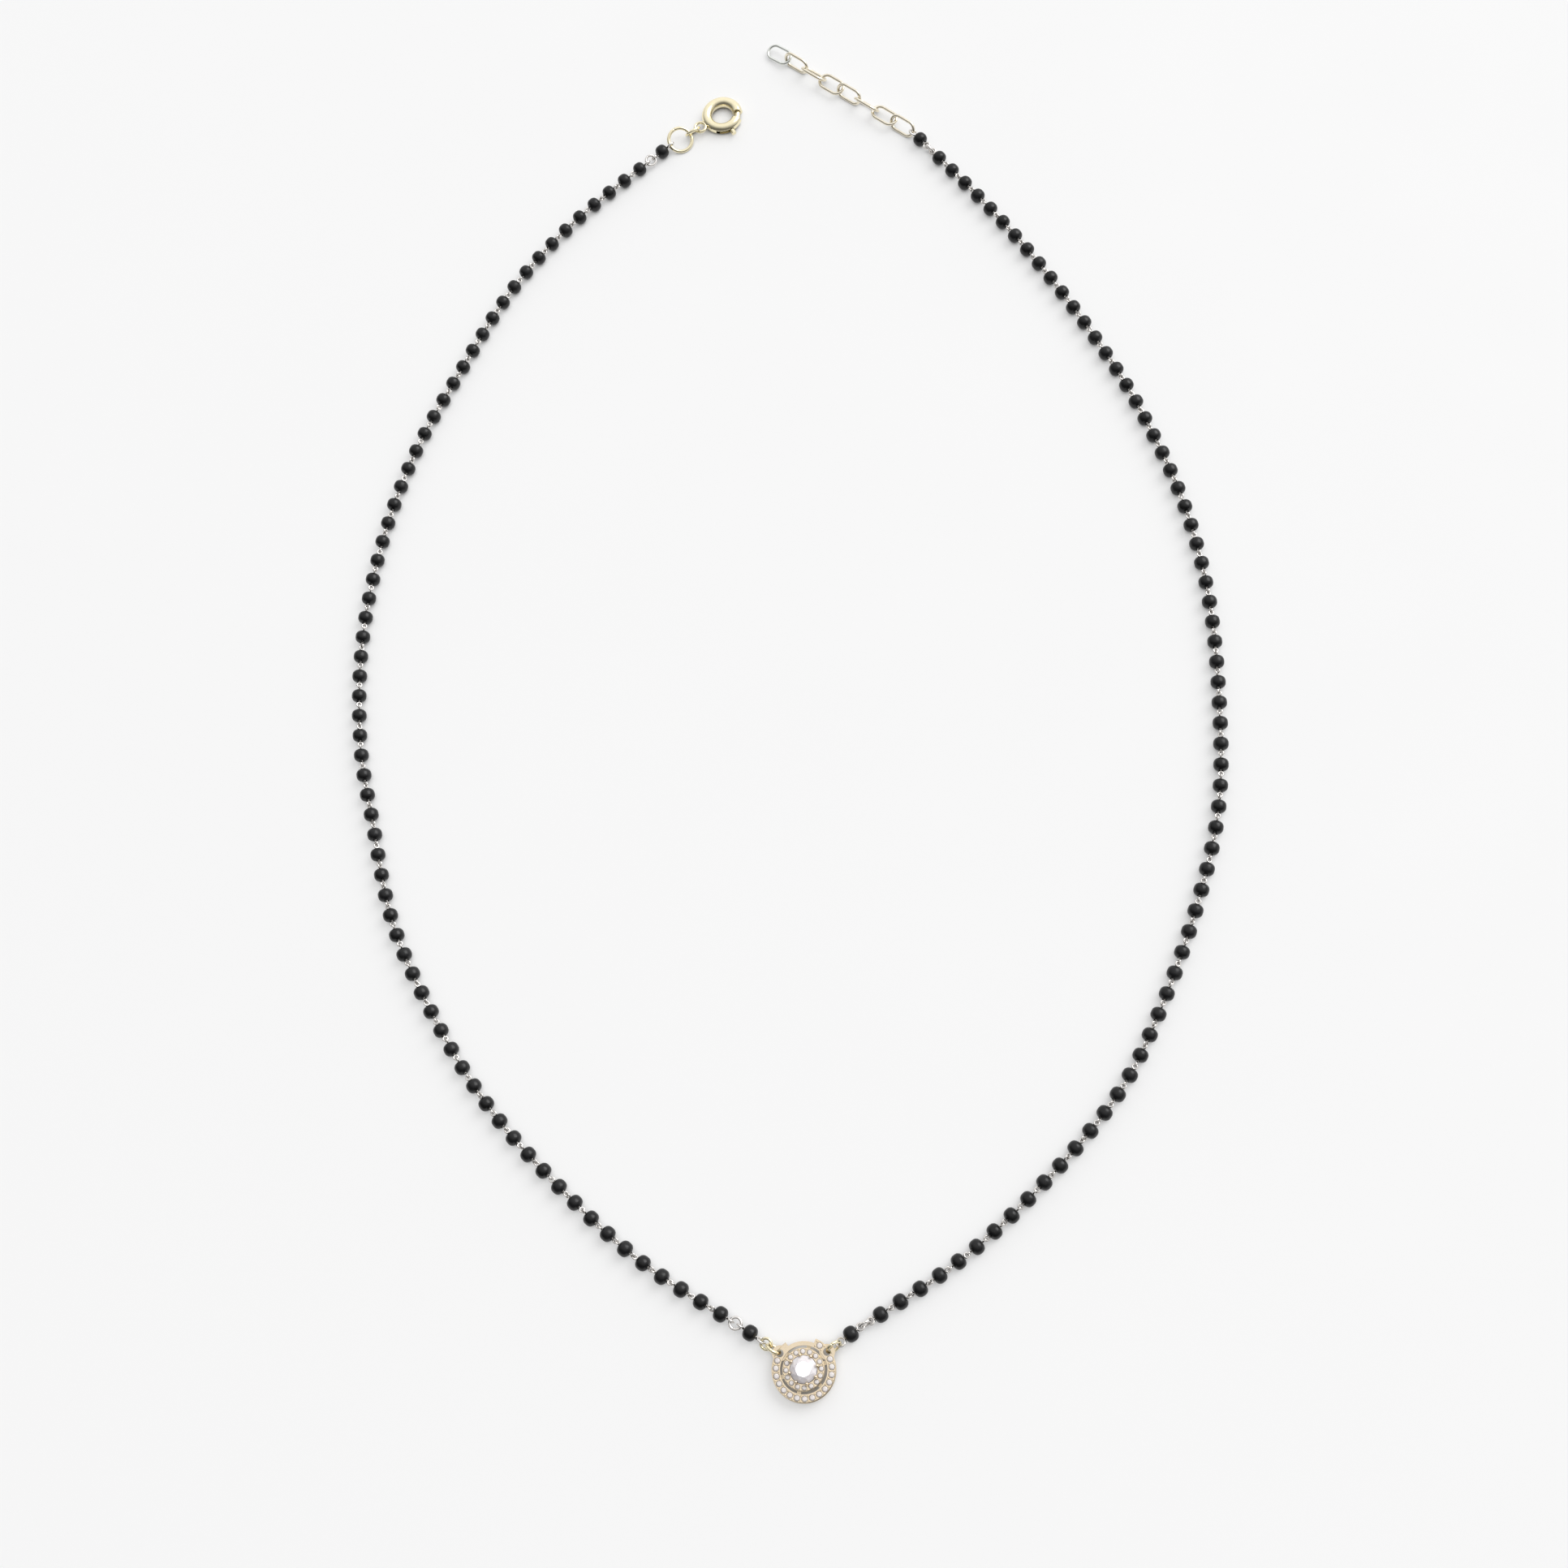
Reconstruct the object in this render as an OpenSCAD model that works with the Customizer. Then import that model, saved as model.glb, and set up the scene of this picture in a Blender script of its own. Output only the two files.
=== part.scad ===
// Black-bead necklace with a round halo pendant, a spring-ring clasp and an extender chain.
// It lies on a table with the clasp undone: X to the right, Y from the pendant to the clasp, Z up.
// The origin is on the table, under the middle of the whole outline. All lengths in millimetres.

/* [Beads] */
// Diameter of a bead across its hole
bead_d = 2; // [2:0.05:2.2]
// Length of a bead along its hole
bead_l = 1.65; // [1.4:0.05:1.65]
// Diameter of the hole through a bead
bead_bore = 0.7; // [0.6:0.05:0.8]
// Distance from one bead to the next along a string
bead_pitch = 2.85; // [2.7:0.05:3.2]

/* [Wire and eyes] */
// Diameter of the wire that carries the beads
wire_d = 0.36; // [0.32:0.02:0.4]
// Outer diameter of the eyes that hold the string rings
eye_d = 1.16; // [1.12:0.02:1.3]
// Outer diameter of the eyes beside the pendant, the clasp and the extender
end_eye_d = 1.44; // [1.42:0.02:1.6]
// Diameter of the wire of an eye
eye_wire = 0.3; // [0.24:0.02:0.3]
// Gap between a bead and the eye beside it
eye_gap = 0.02; // [0.02:0.02:0.2]
// Outer diameter of the ring between a string and its end bead
string_ring_d = 1.8; // [1.7:0.05:1.95]
// Diameter of the wire of that ring
string_ring_wire = 0.36; // [0.3:0.02:0.36]

/* [Pendant] */
// Outer diameter of the raised halo
halo_d = 7.8; // [7.6:0.1:9]
// Width of the halo band
halo_w = 1.05; // [1:0.05:1.2]
// Width of its plain rim at the top, between the ears
rim_w = 0.5; // [0.4:0.05:0.6]
// Thickness of the halo plate
halo_t = 0.7; // [0.6:0.05:0.7]
// Height of the underside of the halo above the table
halo_z = 0.9; // [0.8:0.05:0.9]
// Width of the dark groove between the halo and the collet
groove_w = 0.3; // [0.2:0.05:0.35]
// Height of the collet that holds the centre stone
collet_h = 2; // [1.9:0.05:2.3]
// Outer diameter of the collet where it rests on the table
collet_base_d = 4.4; // [3.6:0.1:4.6]
// Diameter of the open back under the centre stone
back_hole_d = 2; // [1.6:0.1:2.2]
// Number of bridges from the collet to the halo
bridges = 6; // [4:1:8]

/* [Stones] */
// Diameter of the centre stone
stone_d = 3.3; // [3:0.05:3.4]
// Diameter of a stone of the inner halo
inner_stone_d = 0.6; // [0.5:0.02:0.6]
// Number of stones of the inner halo, two for each claw
inner_stones = 16; // [12:2:16]
// Diameter of a stone of the outer halo
outer_stone_d = 0.72; // [0.6:0.02:0.74]
// Distance from one stone of the outer halo to the next
outer_stone_pitch = 0.95; // [0.9:0.05:1.2]

/* [Ears and pendant rings] */
// Diameter of the ear on each side of the pendant
ear_d = 1.9; // [1.8:0.05:2.1]
// Diameter of the hole in an ear
ear_hole_d = 0.94; // [0.9:0.02:1]
// Thickness of an ear
ear_t = 0.5; // [0.4:0.05:0.5]
// Outer diameter of the ring in the right ear
right_ring_d = 2.2; // [2.15:0.05:2.4]
// Outer diameter of the ring in the left ear
left_ring_d = 2.2; // [2.15:0.05:2.4]
// Diameter of the wire of the ear rings
ear_ring_wire = 0.4; // [0.34:0.02:0.4]
// Outer diameter of the second ring on the left
second_ring_d = 1.7; // [1.66:0.02:1.9]
// Diameter of the wire of that ring
second_ring_wire = 0.36; // [0.3:0.02:0.36]

/* [Clasp] */
// Outer diameter of the spring ring
clasp_d = 6; // [5.8:0.1:7]
// Diameter of its tube
tube_d = 1.5; // [1.5:0.05:1.6]
// Diameter of the sliding bolt
bolt_d = 0.8; // [0.7:0.05:0.85]
// Angle of the open mouth that the bolt closes
mouth = 30; // [26:1:34]
// Height of the thumb knob above the tube
knob_h = 0.6; // [0.4:0.05:0.8]
// Diameter of the thumb knob
knob_d = 0.7; // [0.6:0.05:0.9]
// Outer diameter of the soldered lug ring
lug_d = 2; // [1.9:0.05:2.2]
// Diameter of the wire of the lug ring
lug_wire = 0.42; // [0.36:0.02:0.44]
// Outer diameter of the small ring on the lug
small_ring_d = 2.5; // [2.4:0.05:2.5]
// Diameter of the wire of the small ring
small_ring_wire = 0.4; // [0.34:0.02:0.4]
// Outer diameter of the large jump ring
jump_ring_d = 3.9; // [3.9:0.1:4.5]
// Diameter of the wire of the large jump ring
jump_ring_wire = 0.5; // [0.4:0.05:0.5]

/* [Extender] */
// Number of oval links
links = 8; // [4:1:8]
// Outer length of a link
link_l = 4.3; // [4.1:0.1:4.8]
// Outer width of a link
link_w = 2.5; // [2.4:0.1:3]
// Diameter of the wire of a link
link_wire = 0.44; // [0.38:0.02:0.44]

/* [Hidden] */
$fn = 48;
// Few chosen points of each string from the pendant to its last bead. The first bead comes before them.
LEFT_ROUTE = [
    [-20, -79], [-30, -69.5], [-39, -59], [-46, -47.5], [-52, -34], [-55, -20], [-57, -8], [-57, 6.5],
    [-54.5, 21], [-50, 34.5], [-43.5, 47], [-36, 59.5], [-26.5, 70], [-14, 80]
];
RIGHT_ROUTE = [
    [19, -80.5], [30, -71.5], [39.5, -61.5], [45.5, -51.5], [51.5, -38], [55.5, -25], [57, -10], [57, 4.5],
    [55, 18], [51, 31], [47, 40.5], [40.5, 53], [33, 65], [23.5, 78]
];
// Chosen points of the extender after the last bead on the right
EXTENDER_ROUTE = [[15.5, 85.2], [2.5, 96]];
// Middle of the pendant on the table
PENDANT_AT = [-0.7, -92.6];
left_ear_angle = 144;
right_ear_angle = 34;
// Where the halo band narrows to its rim, above the right ear, and where it widens again
rim_start = 66;
rim_end = 122;
clasp_heading = 30;
// Straight pieces that each span of a route is divided into
route_steps = 12;
wire_sides = 8;

// Clearances
hook_slack = 0.12;
end_eye_slack = 0.18;
ear_slack = 0.2;
link_slack = 0.2;
bolt_clearance = 0.06;
stone_clearance = 0.04;
small_clearance = 0.03;

// Rolls of the rings about their chain, 0 lies flat and 90 stands up
left_ring_roll = 70;
second_ring_roll = -20;
right_ring_roll = 70;
left_front_roll = 0;
right_front_roll = 80;
left_back_roll = 20;
right_back_roll = 75;
jump_ring_roll = 22;
small_ring_roll = -60;
lug_roll = 0;
first_link_roll = -55;
link_turn = 57;
free_end_droop = 8;
quarter_turn = 90;

// Share of its neighbours' height at which a link hangs between them, or after the last but one
carried = 0.46;
carried_last = 0.66;
// How far pieces soldered together run into each other, and how far a cut runs past a face
solder = 0.05;
past = 1;

// Heights
string_z = bead_d / 2;
halo_top = halo_z + halo_t;
ear_z = halo_z + halo_t / 2;
tube_z = tube_d / 2;
lug_lift = 0.25;
lug_z = tube_z + lug_lift;

// Inner radii of the rings, which say how far apart two hooked rings lie
function inner_r(outer_d, wire) = outer_d / 2 - wire;
eye_in = inner_r(eye_d, eye_wire);
end_eye_in = inner_r(end_eye_d, eye_wire);
string_ring_in = inner_r(string_ring_d, string_ring_wire);
right_ring_in = inner_r(right_ring_d, ear_ring_wire);
left_ring_in = inner_r(left_ring_d, ear_ring_wire);
second_ring_in = inner_r(second_ring_d, second_ring_wire);
lug_in = inner_r(lug_d, lug_wire);
small_ring_in = inner_r(small_ring_d, small_ring_wire);
jump_ring_in = inner_r(jump_ring_d, jump_ring_wire);
link_in = inner_r(link_l, link_wire);
eye_reach = eye_centre(eye_d);
end_eye_reach = eye_centre(end_eye_d);
string_ring_gap = 2 * (eye_reach + hooked(eye_in, string_ring_in));
function hooked(a, b, slack = hook_slack) = a + b - slack;
function eye_centre(outer_d) = bead_l / 2 + eye_gap + outer_d / 2;
function direction(angle) = [cos(angle), sin(angle)];
function heading(a, b) = atan2(b[1] - a[1], b[0] - a[0]);

// Pendant radii
halo_r = halo_d / 2;
halo_in = halo_r - halo_w;
collet_r = halo_in - groove_w;
seat_r = stone_d / 2 + stone_clearance;
inner_stone_r = (collet_r + seat_r) / 2;
outer_stone_r = halo_r - halo_w / 2;
inner_seat_d = inner_stone_d + 2 * small_clearance;
outer_seat_d = outer_stone_d + 2 * small_clearance;
ear_r = halo_r - ear_hole_d / 2 + solder;
girdle_z = collet_h + stone_clearance;
edge = 0.12;
seat_depth = 0.4;
pavilion = 0.84;
girdle_share = 0.04;
bridge_w = 0.5;
bridge_t = 0.35;
bridge_root = 0.4;
claw_d = 0.3;
claw_stand = 0.03;
claw_root = 0.4;
claw_h = 0.32;
claw_tip_d = 0.4;
claw_tip_out = 0.08;
claw_tip_up = 0.15;

// Distances out from the middle of the pendant along each ear
ear_edge = ear_r + ear_hole_d / 2;
right_ring_at = ear_edge + right_ring_in - ear_slack;
left_ring_at = ear_edge + left_ring_in - ear_slack;
second_ring_at = left_ring_at + hooked(left_ring_in, second_ring_in);
right_first_bead = right_ring_at + hooked(right_ring_in, end_eye_in) + end_eye_reach;
left_first_bead = second_ring_at + hooked(second_ring_in, end_eye_in) + end_eye_reach;
function from_pendant(angle, r) = PENDANT_AT + r * direction(angle);

// Clasp radii and angles, the angles counted from the way the chain runs into the clasp
clasp_r = clasp_d / 2 - tube_d / 2;
lug_ring_r = (lug_d - lug_wire) / 2;
lug_at = clasp_d / 2 + lug_d / 2 - lug_wire / 2 - solder;
mouth_middle = -38;
mouth_low = mouth_middle - mouth / 2;
mouth_high = mouth_middle + mouth / 2;
bolt_overlap = 7;
bolt_play = 3;
bolt_withdrawn = 1;
bolt_travel = mouth + bolt_overlap + bolt_withdrawn;
bolt_length = 114;
bolt_tip = mouth_high + bolt_overlap;
bolt_tail = bolt_tip - bolt_length;
lever_from_mouth = 55;
lever_angle = mouth_middle - lever_from_mouth;
post_d = 0.44;
slot_half = post_d / 2 + bolt_clearance;
slot_margin = asin(slot_half / clasp_r);

// Smooth curve through chosen points, and the places on it by distance
function span_point(a, b, c, d, t) = (
    2 * b + (c - a) * t + (2 * a - 5 * b + 4 * c - d) * t * t + (3 * b - a - 3 * c + d) * t * t * t
) / 2;
function smooth(p) = concat(
    [for (i = [0:len(p) - 2], k = [0:route_steps - 1])
        span_point(
            i > 0 ? p[i - 1] : 2 * p[0] - p[1],
            p[i],
            p[i + 1],
            i < len(p) - 2 ? p[i + 2] : 2 * p[i + 1] - p[i],
            k / route_steps
        )],
    [p[len(p) - 1]]
);
function distances(q) = [
    for (i = 0, s = 0; i < len(q); i = i + 1, s = i < len(q) ? s + norm(q[i] - q[i - 1]) : s) s
];
function column(q, s, axis) = [for (i = [0:len(q) - 1]) [s[i], q[i][axis]]];
function curve_tables(p) = let (q = smooth(p), s = distances(q)) [column(q, s, 0), column(q, s, 1), s[len(s) - 1]];
function on_curve(tables, s) = [lookup(s, tables[0]), lookup(s, tables[1])];

// Places of the beads of one string: the first and last stand off by a ring, the rest are even
function bead_places(tables) = let (
    length = tables[2] - 2 * string_ring_gap,
    spans = round(length / bead_pitch)
) concat(
    [on_curve(tables, 0)],
    [for (k = [0:spans]) on_curve(tables, string_ring_gap + k * length / spans)],
    [on_curve(tables, tables[2])]
);
function bead_heading(beads, i) = heading(beads[max(i - 1, 0)], beads[min(i + 1, len(beads) - 1)]);

left_beads_at = bead_places(curve_tables(concat([from_pendant(left_ear_angle, left_first_bead)], LEFT_ROUTE)));
right_beads_at = bead_places(curve_tables(concat([from_pendant(right_ear_angle, right_first_bead)], RIGHT_ROUTE)));
left_last = left_beads_at[len(left_beads_at) - 1];
right_last = right_beads_at[len(right_beads_at) - 1];
left_end_heading = bead_heading(left_beads_at, len(left_beads_at) - 1);
right_end_heading = bead_heading(right_beads_at, len(right_beads_at) - 1);

// Places along the clasp side
left_end_eye = left_last + end_eye_reach * direction(left_end_heading);
jump_ring_at = left_end_eye + hooked(end_eye_in, jump_ring_in, end_eye_slack) * direction(clasp_heading);
small_ring_at = jump_ring_at + hooked(jump_ring_in, small_ring_in) * direction(clasp_heading);
lug_ring_at = small_ring_at + hooked(small_ring_in, lug_in) * direction(clasp_heading);
clasp_at = lug_ring_at + lug_at * direction(clasp_heading);

// Places along the extender
right_end_eye = right_last + end_eye_reach * direction(right_end_heading);
extender_tables = curve_tables(concat([right_end_eye], EXTENDER_ROUTE));
link_pitch = 2 * link_in - link_slack;
link_half_w = link_w / 2 - link_wire / 2;
function link_s(i) = hooked(end_eye_in, link_in, end_eye_slack) + (i - 1) * link_pitch;
function link_roll(i) = first_link_roll + link_turn * (i - 1);
link_straight = link_l - link_w;
// Height at which a link touches the table with its roll, and with the droop of the free end
function link_droop(i) = i == links ? free_end_droop * (1 - abs(sin(link_roll(i)))) : 0;
function link_rest(i) = link_wire / 2 + link_straight / 2 * sin(link_droop(i))
    + link_half_w * norm([sin(link_roll(i)) * cos(link_droop(i)), sin(link_droop(i))]);
// A link that would lie low is carried by its neighbours
function link_z(i) = max(
    link_rest(i),
    i == links ? carried_last * link_rest(i - 1) : carried * (link_rest(i - 1) + link_rest(i + 1))
);
function ring_rest(outer_d, wire, roll) = wire / 2 + (outer_d - wire) / 2 * abs(sin(roll));

// Part of a ring of round wire, from one angle to another
module arc_tube(r, wire, from, to) {
    rotate([0, 0, from])
        rotate_extrude(angle = to - from)
            translate([r, 0])
                circle(d = wire);
}

// Closed round ring of wire, placed on a chain: its heading, its roll about the chain and its height
module chain_ring(at, z, angle, roll, outer_d, wire) {
    translate([at[0], at[1], z])
        rotate([0, 0, angle])
            rotate([roll, 0, 0])
                rotate_extrude()
                    translate([(outer_d - wire) / 2, 0])
                        circle(d = wire);
}

// One drilled bead along X, its outline a rounded barrel
module bead() {
    corner_share = 0.42;
    corner_steps = 4;
    corner = corner_share * bead_l;
    flat = bead_l / 2 - corner;
    arc = [
        for (k = [corner_steps:-1:0])
            let (a = quarter_turn * k / corner_steps)
                [bead_d / 2 - corner + corner * sin(a), flat + corner * cos(a)]
    ];
    rotate([0, 90, 0])
        rotate_extrude()
            polygon(concat(
                arc,
                [[bead_bore / 2, bead_l / 2], [bead_bore / 2, -bead_l / 2]],
                [for (k = [len(arc) - 1:-1:0]) [arc[k][0], -arc[k][1]]]
            ));
}

module beads(places) {
    for (i = [0:len(places) - 1])
        translate([places[i][0], places[i][1], string_z])
            rotate([0, 0, bead_heading(places, i)])
                bead();
}

// Wire swept through the even beads of a string, with an eye at each end
module string_wire(places, front_roll, back_roll) {
    last = len(places) - 2;
    front_angle = bead_heading(places, 1);
    back_angle = bead_heading(places, last);
    swept_wire(concat(
        [places[1] - stem * direction(front_angle)],
        [for (i = [1:last]) places[i]],
        [places[last] + stem * direction(back_angle)]
    ));
    eye(places[1], front_angle + 180, -front_roll, eye_d);
    eye(places[last], back_angle, back_roll, eye_d);
}

// Round wire along flat points, one ring of corners at each point
module swept_wire(points) {
    n = len(points);
    corners = [
        for (i = [0:n - 1])
            let (side = direction(bead_heading(points, i) + quarter_turn))
                for (k = [0:wire_sides - 1])
                    let (a = 360 * (k + 0.5) / wire_sides, out = wire_d / 2 * cos(a))
                        [points[i][0] + out * side[0], points[i][1] + out * side[1], string_z + wire_d / 2 * sin(a)]
    ];
    walls = [
        for (i = [0:n - 2], k = [0:wire_sides - 1])
            let (a = i * wire_sides + k, b = i * wire_sides + (k + 1) % wire_sides)
                [a, a + wire_sides, b + wire_sides, b]
    ];
    first_cap = [for (k = [0:wire_sides - 1]) k];
    last_cap = [for (k = [wire_sides - 1:-1:0]) (n - 1) * wire_sides + k];
    polyhedron(points = corners, faces = concat(walls, [first_cap, last_cap]));
}

// Eye on the wire of a bead, before it or behind it
module eye(at, angle, roll, outer_d) {
    chain_ring(at + eye_centre(outer_d) * direction(angle), string_z, angle, roll, outer_d, eye_wire);
}

// Length of the wire from the middle of a bead to the wire of its eye
stem = bead_l / 2 + eye_gap + eye_wire / 2;

// Pin through one end bead, with an eye before it and one behind it
module end_pin(at, angle, roll_before, eye_before, roll_behind, eye_behind) {
    translate([at[0], at[1], string_z])
        rotate([0, 0, angle])
            rotate([0, 90, 0])
                cylinder(d = wire_d, h = 2 * stem, center = true);
    eye(at, angle + 180, -roll_before, eye_before);
    eye(at, angle, roll_behind, eye_behind);
}

// Ring halfway between the eyes of two neighbouring beads, of which one is an end bead
module string_ring(bead_a, angle_a, bead_b, angle_b, roll) {
    a = bead_a + eye_reach * direction(angle_a);
    b = bead_b - eye_reach * direction(angle_b);
    chain_ring((a + b) / 2, string_z, heading(a, b), roll, string_ring_d, string_ring_wire);
}

// Brilliant: an eight-sided table, eight kites and eight stars above, eight mains below
module brilliant(d) {
    r = d / 2;
    table_r = 0.57 * r;
    crown_h = 0.3 * r;
    depth = pavilion * r;
    girdle = girdle_share * r;
    star_r = 0.8 * r;
    low_r = 0.4 * r;
    eighth = 45;
    half = eighth / 2;
    star_z = crown_h * (r - star_r * cos(half)) / (r - table_r);
    low_z = -depth * (1 - low_r * cos(half) / r);
    points = concat(
        [for (k = [0:7]) [table_r * cos(eighth * k), table_r * sin(eighth * k), crown_h]],
        [for (k = [0:7]) [star_r * cos(eighth * k + half), star_r * sin(eighth * k + half), star_z]],
        [for (k = [0:15]) [r * cos(half * k), r * sin(half * k), 0]],
        [for (k = [0:15]) [r * cos(half * k), r * sin(half * k), -girdle]],
        [for (k = [0:7]) [low_r * cos(eighth * k + half), low_r * sin(eighth * k + half), low_z - girdle]],
        [[0, 0, -depth - girdle]]
    );
    star = 8;
    upper = 16;
    lower = 32;
    low = 48;
    tip = 56;
    faces = concat(
        [[7, 6, 5, 4, 3, 2, 1, 0]],
        [for (k = [0:7]) [k, (k + 1) % 8, star + k]],
        [for (k = [0:7]) [k, star + k, upper + 2 * k, star + (k + 7) % 8]],
        [for (k = [0:7]) [star + k, upper + 2 * k + 1, upper + 2 * k]],
        [for (k = [0:7]) [star + k, upper + (2 * k + 2) % 16, upper + 2 * k + 1]],
        [for (k = [0:15]) [upper + k, upper + (k + 1) % 16, lower + (k + 1) % 16, lower + k]],
        [for (k = [0:7]) [lower + 2 * k, lower + 2 * k + 1, low + k]],
        [for (k = [0:7]) [lower + 2 * k + 1, lower + (2 * k + 2) % 16, low + k]],
        [for (k = [0:7]) [lower + 2 * k, low + k, tip, low + (k + 7) % 8]]
    );
    polyhedron(points = points, faces = faces);
}

// Small stone: an eight-sided table, eight crown facets and eight below
module small_stone(d) {
    r = d / 2;
    table_r = 0.58 * r;
    crown_h = 0.32 * r;
    depth = 0.8 * r;
    eighth = 45;
    points = concat(
        [for (k = [0:7]) [table_r * cos(eighth * k), table_r * sin(eighth * k), crown_h]],
        [for (k = [0:7]) [r * cos(eighth * k), r * sin(eighth * k), 0]],
        [[0, 0, -depth]]
    );
    faces = concat(
        [[7, 6, 5, 4, 3, 2, 1, 0]],
        [for (k = [0:7]) [k, (k + 1) % 8, 8 + (k + 1) % 8, 8 + k]],
        [for (k = [0:7]) [8 + k, 8 + (k + 1) % 8, 16]]
    );
    polyhedron(points = points, faces = faces);
}

// Angles of stones spread evenly over an arc, as near to a pitch as they come
function spread(from, to, step) = let (n = max(1, round((to - from) / step))) [
    for (k = [0:n]) from + (to - from) * k / n
];
// The outer stones keep clear of the hole of each ear. One stands alone between the right ear and the rim.
function keep_clear(d) = 2 * asin((d / 2 + outer_seat_d / 2 + small_clearance) / (2 * outer_stone_r));
ear_keep = keep_clear(ear_hole_d);
stone_step = outer_stone_pitch / outer_stone_r * 180 / PI;
lone_stone_angle = (right_ear_angle + ear_keep + rim_start - keep_clear(edge)) / 2;
outer_stone_angles = concat(
    [lone_stone_angle],
    spread(left_ear_angle + ear_keep, right_ear_angle + 360 - ear_keep, stone_step)
);
inner_stone_angles = [for (k = [0:inner_stones - 1]) 360 * k / inner_stones];
bridge_angles = [for (k = [0:bridges - 1]) 360 * (k + 0.25) / bridges];
claw_angles = [for (k = [0:2:inner_stones - 1]) 360 * (k + 0.5) / inner_stones];

module at_pendant() {
    translate([PENDANT_AT[0], PENDANT_AT[1], 0])
        children();
}

module around(angles, r, z) {
    for (a = angles)
        rotate([0, 0, a])
            translate([r, 0, z])
                children();
}

// Profile of the collet: a cone outside, an open back and a seat for the centre stone inside
module collet() {
    seat_drop = pavilion * (seat_r - back_hole_d / 2);
    rotate_extrude()
        polygon([
            [back_hole_d / 2, 0],
            [collet_base_d / 2, 0],
            [collet_base_d / 2, edge],
            [collet_r, halo_top],
            [collet_r, collet_h - edge],
            [collet_r - edge, collet_h],
            [seat_r, collet_h],
            [back_hole_d / 2, collet_h - seat_drop]
        ]);
}

// The band is cut back to its rim at the top
module halo_plate() {
    difference() {
        rotate_extrude()
            polygon([
                [halo_in, halo_z],
                [halo_r - edge, halo_z],
                [halo_r, halo_z + edge],
                [halo_r, halo_top - edge],
                [halo_r - edge, halo_top],
                [halo_in, halo_top]
            ]);
        rotate([0, 0, rim_start])
            rotate_extrude(angle = rim_end - rim_start)
                translate([halo_in + rim_w, halo_z - past])
                    square([halo_w - rim_w + past, halo_t + 2 * past]);
    }
}

module claws() {
    for (a = claw_angles)
        rotate([0, 0, a]) {
            translate([seat_r + claw_stand + claw_d / 2, 0, collet_h - claw_root])
                cylinder(d = claw_d, h = claw_root + claw_h);
            translate([stone_d / 2 + claw_tip_out, 0, girdle_z + claw_tip_d / 2 + claw_tip_up])
                sphere(d = claw_tip_d);
        }
}

module bridge() {
    translate([0, -bridge_w / 2, 0])
        cube([bridge_root + groove_w + bridge_root / 2, bridge_w, bridge_t]);
}

module pendant_setting() {
    bridge_z = halo_z + (halo_t - bridge_t) / 2;
    color("palegoldenrod")
        at_pendant()
            difference() {
                union() {
                    collet();
                    halo_plate();
                    around(bridge_angles, collet_r - bridge_root, bridge_z)
                        bridge();
                    around([left_ear_angle, right_ear_angle], ear_r, ear_z - ear_t / 2)
                        cylinder(d = ear_d, h = ear_t);
                    claws();
                }
                around([left_ear_angle, right_ear_angle], ear_r, halo_z - past)
                    cylinder(d = ear_hole_d, h = halo_t + 2 * past);
                around(outer_stone_angles, outer_stone_r, halo_top - seat_depth)
                    cylinder(d = outer_seat_d, h = seat_depth + past);
                around(inner_stone_angles, inner_stone_r, collet_h - seat_depth)
                    cylinder(d = inner_seat_d, h = seat_depth + past);
            }
}

module centre_stone() {
    color("lavenderblush")
        at_pendant()
            translate([0, 0, girdle_z + girdle_share * stone_d / 2])
                brilliant(stone_d);
}

module inner_halo_stones() {
    color("mistyrose")
        at_pendant()
            around(inner_stone_angles, inner_stone_r, collet_h - small_clearance)
                small_stone(inner_stone_d);
}

module outer_halo_stones() {
    color("mistyrose")
        at_pendant()
            around(outer_stone_angles, outer_stone_r, halo_top - small_clearance)
                small_stone(outer_stone_d);
}

module left_beads() {
    color("black") beads(left_beads_at);
}

module right_beads() {
    color("black") beads(right_beads_at);
}

module left_wire() {
    color("silver") string_wire(left_beads_at, left_front_roll + quarter_turn, left_back_roll + quarter_turn);
}

module right_wire() {
    color("silver") string_wire(right_beads_at, right_front_roll + quarter_turn, right_back_roll + quarter_turn);
}

module left_front_pin() {
    color("silver")
        end_pin(
            left_beads_at[0], left_ear_angle,
            second_ring_roll + quarter_turn, end_eye_d, left_front_roll + quarter_turn, eye_d
        );
}

module right_front_pin() {
    color("silver")
        end_pin(
            right_beads_at[0], right_ear_angle,
            right_ring_roll + quarter_turn, end_eye_d, right_front_roll + quarter_turn, eye_d
        );
}

module left_back_pin() {
    color("silver")
        end_pin(
            left_last, left_end_heading,
            left_back_roll + quarter_turn, eye_d, jump_ring_roll + quarter_turn, end_eye_d
        );
}

module right_back_pin() {
    color("silver")
        end_pin(
            right_last, right_end_heading,
            right_back_roll + quarter_turn, eye_d, first_link_roll + quarter_turn, end_eye_d
        );
}

module front_ring(places, ear_angle, roll) {
    color("silver")
        string_ring(places[0], ear_angle, places[1], bead_heading(places, 1), roll);
}

module back_ring(places, roll) {
    n = len(places);
    color("silver")
        string_ring(
            places[n - 2], bead_heading(places, n - 2),
            places[n - 1], bead_heading(places, n - 1), roll
        );
}

module left_front_ring() {
    front_ring(left_beads_at, left_ear_angle, left_front_roll);
}

module right_front_ring() {
    front_ring(right_beads_at, right_ear_angle, right_front_roll);
}

module left_back_ring() {
    back_ring(left_beads_at, left_back_roll);
}

module right_back_ring() {
    back_ring(right_beads_at, right_back_roll);
}

module left_pendant_ring() {
    color("palegoldenrod")
        chain_ring(
            from_pendant(left_ear_angle, left_ring_at), ear_z, left_ear_angle,
            left_ring_roll, left_ring_d, ear_ring_wire
        );
}

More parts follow.
